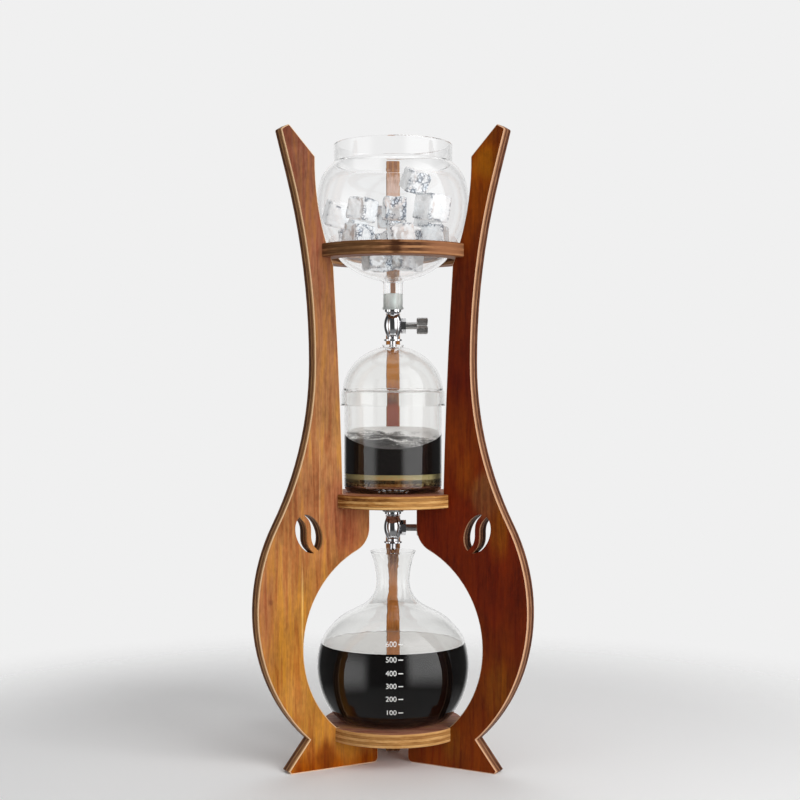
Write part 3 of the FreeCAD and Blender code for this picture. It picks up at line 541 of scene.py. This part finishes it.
# %% Silicone and PTFE
milk_size = 7.0
silicone, tree, shader = new_material("moulded_silicone", Roughness=0.4, IOR=1.41, Transmission_Weight=0.55)
place = add(tree, "TexCoord", output="Object")
milk = add(tree, "TexNoise", {"Vector": place, "Scale": 1 / (milk_size * MM), "Detail": 2.0})
feed(shader, Base_Color=add(tree, "ValToRGB", [milk], stops=[(0.35, "#EEF4F1"), (0.65, "#FCFEFD")]))
let_lamps_through(tree, shader, "#E4ECE8")
ptfe = new_material("turned_ptfe", Base_Color=linear("#E6E4DE"), Roughness=0.5)[0]
print("milky patches", milk_size, "mm")

# %% Stoppers and the valves' pieces
press_overlap = 0.3             # how far a stopper reaches into its glass
spigot_reach = 2.2
stopper_round = 0.8
for place_name, body in (("upper", "globe"), ("lower", "root")):
    low, high = (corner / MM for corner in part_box(place_name + "_stopper"))
    reach = high.y + press_overlap
    shoulder = circle_points((reach - stopper_round, high.z - stopper_round), stopper_round, 0, 90, 15)
    ring = [(spigot_reach, low.z), (reach, low.z)] + shoulder + [(spigot_reach, high.z)]
    link_mesh(place_name + "_silicone_stopper", lathe(ring, closed=True), silicone,
              body, [place_name + "_stopper"])
    for part in ("valve_body", "drip_nozzle", "gland_nut"):
        dress(place_name + "_" + part, chrome)
    for part in ("stem", "knob", "needle"):
        dress(place_name + "_" + part, steel)
    dress(place_name + "_packing_ring", ptfe)
print("stoppers reach", round(reach, 2), "mm")

# %% [markdown]
# ## Ice
# Machine-made cubes that have started to melt: rounded and dented, clouded inside by air and clear between
# the clouds. Some sides are whiter than others, and thin cracks gather along the rims; their pattern comes
# from the borders between Voronoi cells. The ice is often seen through the globe, so its rays go straight
# after two bounces, and the pale background shows through it.

# %% Clouds and sides
cloud_size = 9.0                # all sizes in millimetres
ice, tree, shader = new_material("melting_ice", Roughness=0.08, IOR=1.31)
place = add(tree, "TexCoord", output="Object")
cloud = add(tree, "TexNoise", {"Vector": place, "Scale": 1 / (cloud_size * MM), "Detail": 3.0})
face_tone = add(tree, "Attribute", output="Fac", attribute_name="face_tone")
rim_depth = add(tree, "Attribute", output="Fac", attribute_name="rim_depth")
tone = add(tree, "Math", [face_tone, cloud], operation="ADD")
tone = add(tree, "Math", [tone, 0.36], operation="SUBTRACT")
white_stops = [(0.0, "#BCCADA"), (0.08, "#E4EDF6"), (0.18, "#FBFDFF"), (1.0, "#FFFFFF")]
colour = add(tree, "ValToRGB", [tone], stops=white_stops)
clearness = add(tree, "MapRange", [cloud, 0.35, 0.65, 0.15, 0.58])
print("clouds", cloud_size, "mm wide")

# %% Cracks
crack_size = 6.0
fine_crack_size = crack_size / 2.2
crack_wobble = 2.5
wobble_size = 3.0

# borders between cells, bent a little, are the cracks
wobble = add(tree, "TexNoise", {"Vector": place, "Scale": 1 / (wobble_size * MM), "Detail": 4.0}, "Color")
place = add(tree, "VectorMath", [wobble, (crack_wobble * MM,) * 3, place], operation="MULTIPLY_ADD")
coarse, fine = (add(tree, "TexVoronoi", {"Vector": place, "Scale": 1 / (size * MM)},
                    feature="DISTANCE_TO_EDGE") for size in (crack_size, fine_crack_size))
coarse_cracks = add(tree, "MapRange", [coarse, 0.09, 0.02], interpolation_type="SMOOTHSTEP")
fine_cracks = add(tree, "MapRange", [fine, 0.12, 0.02], interpolation_type="SMOOTHSTEP")
cracks = add(tree, "Math", [coarse_cracks, fine_cracks], operation="MAXIMUM")

# they show near a rim or on a dark side, and not inside a cloud
near_rim = add(tree, "MapRange", [rim_depth, 4.2, 1.2], interpolation_type="SMOOTHSTEP")
dark_side = add(tree, "MapRange", [tone, 0.34, 0.14], interpolation_type="SMOOTHSTEP")
shown = add(tree, "Math", [near_rim, dark_side], operation="MAXIMUM")
unclouded = add(tree, "MapRange", [cloud, 0.58, 0.48, 0.0, 0.9], interpolation_type="SMOOTHSTEP")
cracks = add(tree, "Math", [cracks, shown], operation="MULTIPLY")
cracks = add(tree, "Math", [cracks, unclouded], operation="MULTIPLY")
colour = add(tree, "Mix", {0: cracks, 6: colour, 7: linear("#3A4A5E")}, 2, data_type="RGBA")
bump = add(tree, "Bump", {"Height": coarse, "Strength": 0.3, "Distance": 1.0 * MM})
feed(shader, Base_Color=colour, Transmission_Weight=clearness, Normal=bump)
let_lamps_through(tree, shader, "#FCFEFF", last_bounce=2)
print("cracks", crack_size, "mm apart")

# %% Sides of a cube
tone_step = 0.37                # spreads the cubes' sides over different cells of the random pattern


def store_cube_sides(mesh, cube):
    """Stores each point's tone, by the cube's nearest side, and its distance in mm from the nearest rim."""
    sides = {}
    for polygon in cube.polygons:
        key = tuple(round(part, 1) for part in polygon.normal)
        area, normal, centre = sides.get(key, (0.0, polygon.normal, polygon.center))
        sides[key] = (area + polygon.area, normal.copy(), centre.copy())
    flat = sorted(sides.values(), key=lambda side: -side[0])[:6]
    tones, depths = [], []
    for vertex in mesh.vertices:
        gaps = sorted(((centre - vertex.co).dot(normal) / MM, index)
                      for index, (_, normal, centre) in enumerate(flat))
        centre = flat[gaps[0][1]][2] / MM
        tones.append(noise.cell(centre * tone_step) * 0.5 + 0.5)
        depths.append(max(0.0, gaps[1][0]))
    for attribute_name, values in (("face_tone", tones), ("rim_depth", depths)):
        mesh.attributes.new(attribute_name, "FLOAT", "POINT").data.foreach_set("value", values)


print("each side gets a tone")

# %% Ice cubes
ice_press = 0.35                # all sizes in millimetres
dent_depth = 0.9
dent_size = 7.0
fine_dent_size = 0.35 * dent_size
grain_size = 0.9                # of the fine mesh


def melted_cube(name, source):
    """Dented copy of a packed ice cube."""
    rough = bpy.data.objects.new("rough_ice", source.data.copy())
    bpy.context.scene.collection.objects.link(rough)
    remesh = rough.modifiers.new("remesh", "REMESH")
    remesh.mode = "VOXEL"
    remesh.voxel_size = grain_size * MM
    remesh.use_smooth_shade = True
    smooth = rough.modifiers.new("smooth", "SMOOTH")
    smooth.iterations = 8
    evaluated = rough.evaluated_get(bpy.context.evaluated_depsgraph_get())
    mesh = bpy.data.meshes.new_from_object(evaluated)
    bpy.data.objects.remove(rough)
    mesh.materials.clear()
    store_cube_sides(mesh, source.data)
    offsets = []
    for vertex in mesh.vertices:
        broad = noise.noise(vertex.co / (dent_size * MM))
        fine = noise.noise(vertex.co / (fine_dent_size * MM) + Vector((7.0, 3.0, 1.0)))
        depth = ice_press + dent_depth * max(0.0, 0.5 + broad + 0.35 * fine)
        offsets.append(vertex.normal * (-depth * MM))
    for vertex, offset in zip(mesh.vertices, offsets):
        vertex.co += offset
    mesh.shade_smooth()
    link_mesh(name, mesh, ice, "globe", [source["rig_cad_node"]])


cube_names = sorted(name for name in nodes if name.startswith("ice_cube_"))
for name in cube_names:
    melted_cube("melted_" + name, nodes[name])
print(len(cube_names), "ice cubes")

# %% [markdown]
# ## Coffee and what is in the chamber
# Black coffee fills the lower half of the carafe. The chamber holds a slanting bed of wet grounds on a felt
# pad, a punched screen, and a little coffee under it. A liquid touches its glass, so each of these reaches a
# hair into the wall: without that, a film of air would show between them.

# %% Sizes of the fills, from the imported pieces
wet_overlap = 0.3               # how far a fill reaches into its glass
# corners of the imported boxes, in millimetres
coffee_low, coffee_high = (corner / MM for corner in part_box("coffee"))
carafe_low, carafe_high = (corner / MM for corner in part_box("carafe"))
bed_low, bed_high = (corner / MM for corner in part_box("coffee_grounds"))
pad_low, pad_high = (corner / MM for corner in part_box("filter_cloth"))
brew_low, brew_high = (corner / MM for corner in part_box("filtered_brew"))
chamber_reach = bed_high.x + wet_overlap
carafe_wall = 1.8
carafe_foot_reach = 35.0
carafe_reach = carafe_high.x
base_shelf_top = 30.5
carafe_centre = base_shelf_top + 42.0       # height of the middle of the sphere
print("coffee stands", round(coffee_high.z - coffee_low.z, 1), "mm deep")

# %% Coffee
swirl_size = 30.0
coffee_black, tree, shader = new_material("black_coffee", Roughness=0.3, IOR=1.34, Specular_IOR_Level=0.1)
place = add(tree, "TexCoord", output="Object")
swirls = add(tree, "TexNoise", {"Vector": place, "Scale": 1 / (swirl_size * MM)})
feed(shader, Base_Color=add(tree, "ValToRGB", [swirls], stops=[(0.35, "#050404"), (0.65, "#0A0706")]))

# the level surface meets air: seen along it, it mirrors the room, and from above it is black
coffee_top, tree, shader = new_material("coffee_surface", Roughness=0.02, IOR=1.34)
grazing = add(tree, "LayerWeight", [0.5], "Facing")
mirror = add(tree, "MapRange", [grazing, 0.5, 0.9], interpolation_type="SMOOTHSTEP")
colour = add(tree, "Mix", {0: mirror, 6: linear("#0C0807"), 7: linear("#D8D4D0")}, 2, data_type="RGBA")
feed(shader, Base_Color=colour, Metallic=mirror)
print("coffee is nearly black")


# %% Coffee in the carafe
def carafe_inside(top, grow):
    """Profile of the carafe's inside below a height, grown outwards into its wall."""
    drop = carafe_centre - carafe_low.z
    foot = (carafe_foot_reach ** 2 + drop ** 2 - carafe_reach ** 2) / (2 * (drop - carafe_reach))
    foot_centre = (carafe_foot_reach, carafe_low.z + foot)
    centre = (0.0, carafe_centre)
    turn = bearing(centre, foot_centre)
    inset = carafe_wall - grow
    radius = carafe_reach - inset
    level = math.degrees(math.asin((top - carafe_centre) / radius))
    return ([(0.0, carafe_low.z + inset)] + circle_points(foot_centre, foot - inset, -90, turn)
            + circle_points(centre, radius, turn, level))


climb = 0.3                     # how far the coffee creeps up the glass, in mm
meniscus_width = 1.2


def liquid(name, wall, top, body, node):
    """Liquid inside a wall profile, with a level surface that climbs the glass a little at its rim."""
    reach = wall[-1][0]
    meniscus = [(reach - step, top - climb * (1 - math.exp(-step / meniscus_width)))
                for step in (0.3, 0.8, 1.5, 2.5, 4.0, 6.0)]
    mesh = lathe(wall + meniscus + [(0.0, top - climb)])
    link_mesh(name, mesh, coffee_black, body, [node])
    mesh.materials.append(coffee_top)
    for face in mesh.polygons:
        if face.normal.z > 0.7 and face.center.z > (top - 2 * climb) * MM:
            face.material_index = 1


liquid("coffee_in_carafe", carafe_inside(coffee_high.z + climb, wet_overlap), coffee_high.z + climb,
       "flask", "coffee")
print("coffee poured")

# %% [markdown]
# ## Scale on the carafe
# The real scale is white ceramic enamel, printed and fired on. Its lines stand where the flask holds whole
# hundreds of millilitres, worked out from the sphere's volume. Each mark is a flat outline wrapped round
# the sphere, a few hundredths of a millimetre above the glass.

# %% Heights of the scale
scale_step = 100                # millilitres
scale_end = 600


def held_below(height):
    """Volume in millilitres that the sphere holds below a height in millimetres."""
    radius = carafe_reach - carafe_wall
    low, high = carafe_low.z + carafe_wall - carafe_centre, height - carafe_centre
    return math.pi * (radius ** 2 * (high - low) - (high ** 3 - low ** 3) / 3) / 1000


scale_heights = {}
for volume in range(scale_step, scale_end + 1, scale_step):
    low, high = carafe_low.z + 5, carafe_centre + carafe_reach - 5
    for _ in range(30):
        middle = (low + high) / 2
        low, high = (middle, high) if held_below(middle) < volume else (low, middle)
    scale_heights[volume] = low
print({volume: round(height, 1) for volume, height in scale_heights.items()})

# %% Enamel
print_grain = 0.9
enamel, tree, shader = new_material("fired_white_enamel", Roughness=0.35)
place = add(tree, "TexCoord", output="Object")
print_wear = add(tree, "TexNoise", {"Vector": place, "Scale": 1 / (print_grain * MM), "Detail": 2.0})
feed(shader, Base_Color=add(tree, "ValToRGB", [print_wear], stops=[(0.35, "#D4D4D2"), (0.6, "#F6F6F4")]))
print("enamel grain", print_grain, "mm")

# %% Wrapping on the sphere
enamel_lift = 0.06              # all sizes in millimetres
number_size = 5.6
number_gap = 1.2
line_right = 7.6
line_length = 3.6
line_width = 0.7


def wrap_on_sphere(mesh):
    """Bends a flat mesh, drawn in x and z millimetres, round the front of the carafe's sphere."""
    radius = carafe_reach + enamel_lift
    for vertex in mesh.vertices:
        x, z = vertex.co.x, vertex.co.z
        reach = math.sqrt(radius ** 2 - (z - carafe_centre) ** 2)
        angle = x / reach
        vertex.co = (reach * math.sin(angle) * MM, -reach * math.cos(angle) * MM, z * MM)


print("numbers", number_size, "mm high")


# %% Lines and numbers
def scale_line(volume, height):
    """A short level line as a strip of small faces."""
    mesh = bpy.data.meshes.new("line")
    steps = 8
    left = line_right - line_length
    points = [(left + line_length * step / steps, 0.0, height + side * line_width / 2)
              for side in (-1, 1) for step in range(steps + 1)]
    faces = [(step, step + 1, steps + 2 + step, steps + 1 + step) for step in range(steps)]
    mesh.from_pydata(points, [], faces)
    wrap_on_sphere(mesh)
    link_mesh("scale_line_%d" % volume, mesh, enamel, "flask")


def scale_number(volume, height):
    """A plain number to the left of its line."""
    curve = bpy.data.curves.new("number", "FONT")
    curve.body = str(volume)
    curve.size = number_size
    curve.align_x = "RIGHT"
    curve.align_y = "CENTER"
    drawn = bpy.data.objects.new("number", curve)
    bpy.context.scene.collection.objects.link(drawn)
    evaluated = drawn.evaluated_get(bpy.context.evaluated_depsgraph_get())
    mesh = bpy.data.meshes.new_from_object(evaluated)
    bpy.data.objects.remove(drawn)
    work = bmesh.new()
    work.from_mesh(mesh)
    bmesh.ops.triangulate(work, faces=work.faces)
    work.to_mesh(mesh)
    work.free()
    for vertex in mesh.vertices:
        vertex.co = (vertex.co.x + line_right - line_length - number_gap, 0.0, vertex.co.y + height)
    wrap_on_sphere(mesh)
    mesh.materials.clear()
    link_mesh("scale_number_%d" % volume, mesh, enamel, "flask")


for volume, height in scale_heights.items():
    scale_line(volume, height)
    scale_number(volume, height)
print(len(scale_heights), "lines on the scale")

# %% [markdown]
# ## Wet grounds
# The bed is nearly black and a little glossy through the glass. On its open top the grounds are wetter, and
# their colour is painted paler in streaks towards the higher, rear side: a painted sheen that stands for the
# pale room mirrored in the wet top. The grains are real-sized noise, used for colour, gloss and bump alike,
# and the surface's small heaps are real geometry.

# %% Grounds and painted sheen
grain = 1.1
sheen_streak = (22.0, 22.0, 9.0)
sheen_turn = -0.3               # how far the streaks turn from the front, in radians
sheen_rise = 0.006              # share of painted sheen gained for each millimetre towards the rear
grounds, tree, shader = new_material("wet_coffee_grounds", Roughness=0.42, IOR=1.36, Specular_IOR_Level=0.2)
place = add(tree, "TexCoord", output="Object")
grains = add(tree, "TexNoise", {"Vector": place, "Scale": 1 / (grain * MM), "Detail": 4.0})
bed_stops = [(0.3, "#080605"), (0.55, "#100C0B"), (0.75, "#241D1A")]
feed(shader, Base_Color=add(tree, "ValToRGB", [grains], stops=bed_stops))

wet_top, tree, shader = new_material("wet_grounds_painted_sheen", IOR=1.36)
place = add(tree, "TexCoord", output="Object")
grains = add(tree, "TexNoise", {"Vector": place, "Scale": 1 / (grain * MM), "Detail": 4.0})
parts = board_directions(tree, place, sheen_turn, (0, 2, 1))
sheen_streaks = stretched_noise(tree, parts, sheen_streak, Detail=3.0, Distortion=0.5)
# painted sheen: pale colour that stands for the room mirrored in the wet top, growing towards the rear
painted_sheen = add(tree, "Math", [grains, 0.45, 0.085], operation="MULTIPLY_ADD")
painted_sheen = add(tree, "Math", [sheen_streaks, 0.55, painted_sheen], operation="MULTIPLY_ADD")
painted_sheen = add(tree, "Math", [parts[2], sheen_rise / MM, painted_sheen], operation="MULTIPLY_ADD")
sheen_stops = [(0.38, "#141211"), (0.47, "#2E2C2A"), (0.53, "#9C9B98"), (0.6, "#FFFEFB")]
feed(shader, Base_Color=add(tree, "ValToRGB", [painted_sheen], stops=sheen_stops),
     Roughness=add(tree, "MapRange", [grains, 0.4, 0.6, 0.3, 0.65]),
     Normal=add(tree, "Bump", {"Height": grains, "Strength": 0.7, "Distance": 0.6 * MM}))
print("grains", grain, "mm")

# %% Shape of the bed
heap_size = 9.0
heap_height = 1.3
clump_height = 0.35
bed_front = 243.2               # heights in mm of the rim of the surface, at the front and at the sides
bed_side = 254.8


def bed_height(x, y):
    """Height of the bed's surface, lowest at the front, with small heaps."""
    across = y / chamber_reach
    rear = bed_high.z
    level = (bed_front + rear) / 2 + (rear - bed_front) / 2 * across
    level += (bed_side - (bed_front + rear) / 2) * (1 - across * across)
    place = Vector((x / heap_size, y / heap_size, 0.0))
    edge = 1 - (math.hypot(x, y) / chamber_reach) ** 4
    return level + edge * (heap_height * noise.noise(place) + clump_height * noise.noise(place * 3.1))


print("bed from", bed_front, "to", round(bed_high.z, 1), "mm")


# %% Bed of grounds
def granular_disc(name, bottom, height_at, material, top_material, body, node, rings=40, segments=160):
    """Round layer with an uneven top, a straight side and a flat bottom."""
    mesh = bpy.data.meshes.new(name)
    work = bmesh.new()
    centre = work.verts.new((0.0, 0.0, height_at(0.0, 0.0) * MM))
    previous = [centre]
    levels = [(chamber_reach * step / rings, None) for step in range(1, rings + 1)]
    levels += [(chamber_reach, bottom), (0.0, bottom)]
    for reach, fixed in levels:
        ring = []
        for index in range(segments if reach else 1):
            angle = 2 * math.pi * index / segments
            x, y = reach * math.cos(angle), reach * math.sin(angle)
            z = height_at(x, y) if fixed is None else fixed
            ring.append(work.verts.new((x * MM, y * MM, z * MM)))
        for index in range(segments):
            after = (index + 1) % segments
            corners = [previous[index % len(previous)], previous[after % len(previous)],
                       ring[after % len(ring)], ring[index % len(ring)]]
            work.faces.new(list(dict.fromkeys(corners)))
        previous = ring
    bmesh.ops.recalc_face_normals(work, faces=work.faces)
    work.to_mesh(mesh)
    work.free()
    mesh.shade_smooth()
    mesh.set_sharp_from_angle(angle=math.radians(50))
    link_mesh(name, mesh, material, body, [node])
    mesh.materials.append(top_material)
    for face in mesh.polygons:
        face.material_index = 1 if face.normal.z > 0.5 else 0


granular_disc("wet_grounds", bed_low.z, bed_height, grounds, wet_top, "root", "coffee_grounds")
print("bed in place")

# %% [markdown]
# ## Felt pad and filtered coffee
# Under the grounds lies a pressed felt pad on a punched screen. The pad's hem hangs down round the screen's
# rim, pale above and soaked in uneven tongues below. Coffee that has passed it stands on the glass floor.
# Both are spun profiles, because both fill the round chamber from wall to wall.

# %% Felt
pad_hem = 3.4                   # the felt hangs this far down round the screen's rim
screen_reach = 34.4
tuft_size = 2.6
felt, tree, shader = new_material("pressed_filter_felt", Roughness=0.9, Specular_IOR_Level=0.1)
place = add(tree, "TexCoord", output="Object")
parts = add(tree, "SeparateXYZ", [place]).node.outputs
tufts = add(tree, "TexNoise", {"Vector": place, "Scale": 1 / (tuft_size * MM), "Detail": 6.0,
                               "Roughness": 0.75})
hem_low, hem_high = (pad_low.z - pad_hem) * MM, pad_high.z * MM
dryness = add(tree, "MapRange", [parts[2], hem_low, hem_high, 0.1 - 1.3, 1.0 - 1.3])
dryness = add(tree, "Math", [tufts, 2.6, dryness], operation="MULTIPLY_ADD")
felt_stops = [(0.0, "#1E1814"), (0.2, "#4A3A24"), (0.3, "#8C7A50"), (0.6, "#A0946A"), (1.0, "#8E8458")]
colour = add(tree, "ValToRGB", [dryness], stops=felt_stops)

# a brown tint across the middle, 28 mm wide, where the felt is darker
middle = window(tree, parts[0], (-14 * MM, 14 * MM), 8 * MM)
soaked = add(tree, "MapRange", [dryness, 1.1, 0.5, 0.0, 0.65], interpolation_type="SMOOTHSTEP")
brown_middle = add(tree, "Math", [middle, soaked], operation="MULTIPLY")
colour = add(tree, "Mix", {0: brown_middle, 6: colour, 7: linear("#A06A34")}, 2, data_type="RGBA")
bump = add(tree, "Bump", {"Height": tufts, "Strength": 0.5, "Distance": 0.5 * MM})
feed(shader, Base_Color=colour, Normal=bump)
print("the hem hangs", pad_hem, "mm down")

# %% Felt pad and filtered coffee
floor_gap = 1.3                 # from the glass floor to the underside of the coffee
pad_profile = [
    (0.0, pad_low.z), (screen_reach, pad_low.z), (screen_reach + 0.2, pad_low.z - pad_hem),
    (chamber_reach, pad_low.z - pad_hem), (chamber_reach, pad_high.z), (0.0, pad_high.z),
]
link_mesh("felt_pad", lathe(pad_profile), felt, "root", ["filter_cloth"])
inner_round = 5.5
corner = (chamber_reach - inner_round, brew_low.z + inner_round + floor_gap)
brew_wall = [(0.0, corner[1] - inner_round)] + circle_points(corner, inner_round, -90, 0)
brew_wall += [(chamber_reach, brew_high.z - 0.4), (0.0, brew_high.z)]
link_mesh("filtered_coffee", lathe(brew_wall), coffee_black, "root", ["filtered_brew"])
print("chamber filled")

# %% [markdown]
# ## Room
# A pale floor that fades into an even pale background keeps the shadow and nothing else. Glass and chrome
# only show their shape if they have something to mirror, so mirror rays see a studio: a soft box on either
# side of the front with a dark gap between them, one overhead, and the pale background behind. Rays that go
# through glass see the pale background, so that glass is clear from every side.

# %% The studio that mirrors see
background = "#F0F0F0"
unlit = 0.06                    # strength of the studio between its lights
left_box, left_heights, left_strength = (-90.0, -42.0), (-22.0, 16.0), 2.2
right_box, right_heights, right_strength = (24.0, 92.0), (-14.0, 62.0), 2.7
# bearings are in degrees from the front, positive to the right, and heights above the horizon
world = bpy.data.worlds.new("studio")
bpy.context.scene.world = world
world.use_nodes = True
tree = world.node_tree
tree.nodes.clear()
direction = add(tree, "TexCoord", output="Generated")
parts = add(tree, "SeparateXYZ", [direction]).node.outputs
forward = add(tree, "Math", [parts[1], -1.0], operation="MULTIPLY")
turn = add(tree, "Math", [parts[0], forward], operation="ARCTAN2")
turn = add(tree, "Math", [turn], operation="DEGREES")
rise = add(tree, "Math", [parts[2]], operation="ARCSINE")
rise = add(tree, "Math", [rise], operation="DEGREES")
across = window(tree, turn, left_box, 10.0), window(tree, turn, right_box, 9.0)
upright = window(tree, rise, left_heights, 16.0), window(tree, rise, right_heights, 16.0)
left_light, right_light = (add(tree, "Math", pair, operation="MULTIPLY") for pair in zip(across, upright))
overhead = add(tree, "VectorMath", [direction, (0.0, 0.34, 0.94)], "Value", operation="DOT_PRODUCT")
overhead = add(tree, "MapRange", [overhead, 0.93, 0.97], interpolation_type="SMOOTHSTEP")
behind = add(tree, "Math", [turn], operation="ABSOLUTE")
behind = add(tree, "MapRange", [behind, 140.0, 162.0], interpolation_type="SMOOTHSTEP")
below = add(tree, "MapRange", [rise, -12.0, -32.0, 0.0, 0.24], interpolation_type="SMOOTHSTEP")
studio = add(tree, "Math", [left_light, left_strength, unlit], operation="MULTIPLY_ADD")
for light, strength in ((right_light, right_strength), (overhead, 2.5), (behind, 0.84)):
    studio = add(tree, "Math", [light, strength, studio], operation="MULTIPLY_ADD")
studio = add(tree, "Math", [studio, below], operation="MAXIMUM")
print("soft boxes stand", round(right_box[0] - left_box[1]), "degrees apart")

# %% What the other rays see
path = add(tree, "LightPath").node.outputs
colour = add(tree, "Mix", {0: path["Is Glossy Ray"], 6: linear("#949494"), 7: studio}, 2, data_type="RGBA")
plain = add(tree, "Math", [path["Is Camera Ray"], path["Is Transmission Ray"]], operation="MAXIMUM")
colour = add(tree, "Mix", {0: plain, 6: colour, 7: linear(background)}, 2, data_type="RGBA")
add(tree, "OutputWorld", {"Surface": add(tree, "Background", {"Color": colour, "Strength": 1.0})})
print("background", background)

# %% Floor
floor_radius = 0.62             # metres
fade_start = 0.28
floor_material, tree, shader = new_material("pale_floor", Base_Color=linear("#F8F8F8"), Roughness=0.9)
surface = shader.outputs[0].links[0].to_socket
reach = add(tree, "VectorMath", [add(tree, "TexCoord", output="Object")], "Value", operation="LENGTH")
fade = add(tree, "MapRange", [reach, fade_start, floor_radius], interpolation_type="SMOOTHSTEP")
glossy = add(tree, "LightPath", output="Is Glossy Ray")
fade = add(tree, "Math", [fade, glossy], operation="MAXIMUM")
tree.links.new(add(tree, "MixShader", [fade, shader.outputs[0], add(tree, "BsdfTransparent")]), surface)
floor_mesh = lathe([(0.0, 0.0), (floor_radius / MM, 0.0)])
floor_mesh.materials.append(floor_material)
floor = bpy.data.objects.new("floor", floor_mesh)
bpy.context.scene.collection.objects.link(floor)
print("floor reaches", floor_radius, "m")

# %% [markdown]
# ## Lamps
# Real light comes from three soft boxes. Most of it falls from the right, so the right side of the glass
# sparkles and the left leg's inner edge stays warm. Mirror rays don't see the lamps, because the studio
# above already holds their mirror images.

# %% Lamps
aim_height = 0.25               # metres, the middle of the tower


def soft_box(name, azimuth, height, distance, size, power, colour="#FFFFFF"):
    """Area lamp that faces the tower, at an azimuth in degrees from the front, positive to the right."""
    data = bpy.data.lights.new(name, "AREA")
    data.shape = "RECTANGLE"
    data.size, data.size_y = size
    data.energy = power
    data.color = linear(colour)[:3]
    lamp = bpy.data.objects.new(name, data)
    lamp.visible_glossy = False
    lamp.visible_transmission = False
    turn = math.radians(azimuth)
    lamp.location = (distance * math.sin(turn), -distance * math.cos(turn), height)
    aim = Vector((0.0, 0.0, aim_height)) - lamp.location
    lamp.rotation_euler = aim.to_track_quat("-Z", "Y").to_euler()
    bpy.context.scene.collection.objects.link(lamp)


soft_box("left_soft_box", -45, 0.55, 1.3, (0.9, 1.1), 1.6)
soft_box("right_soft_box", 42, 0.6, 1.3, (0.9, 1.1), 17.0)
soft_box("overhead_soft_box", 180, 1.6, 0.5, (0.9, 0.9), 5.0)
print("lamps ready")
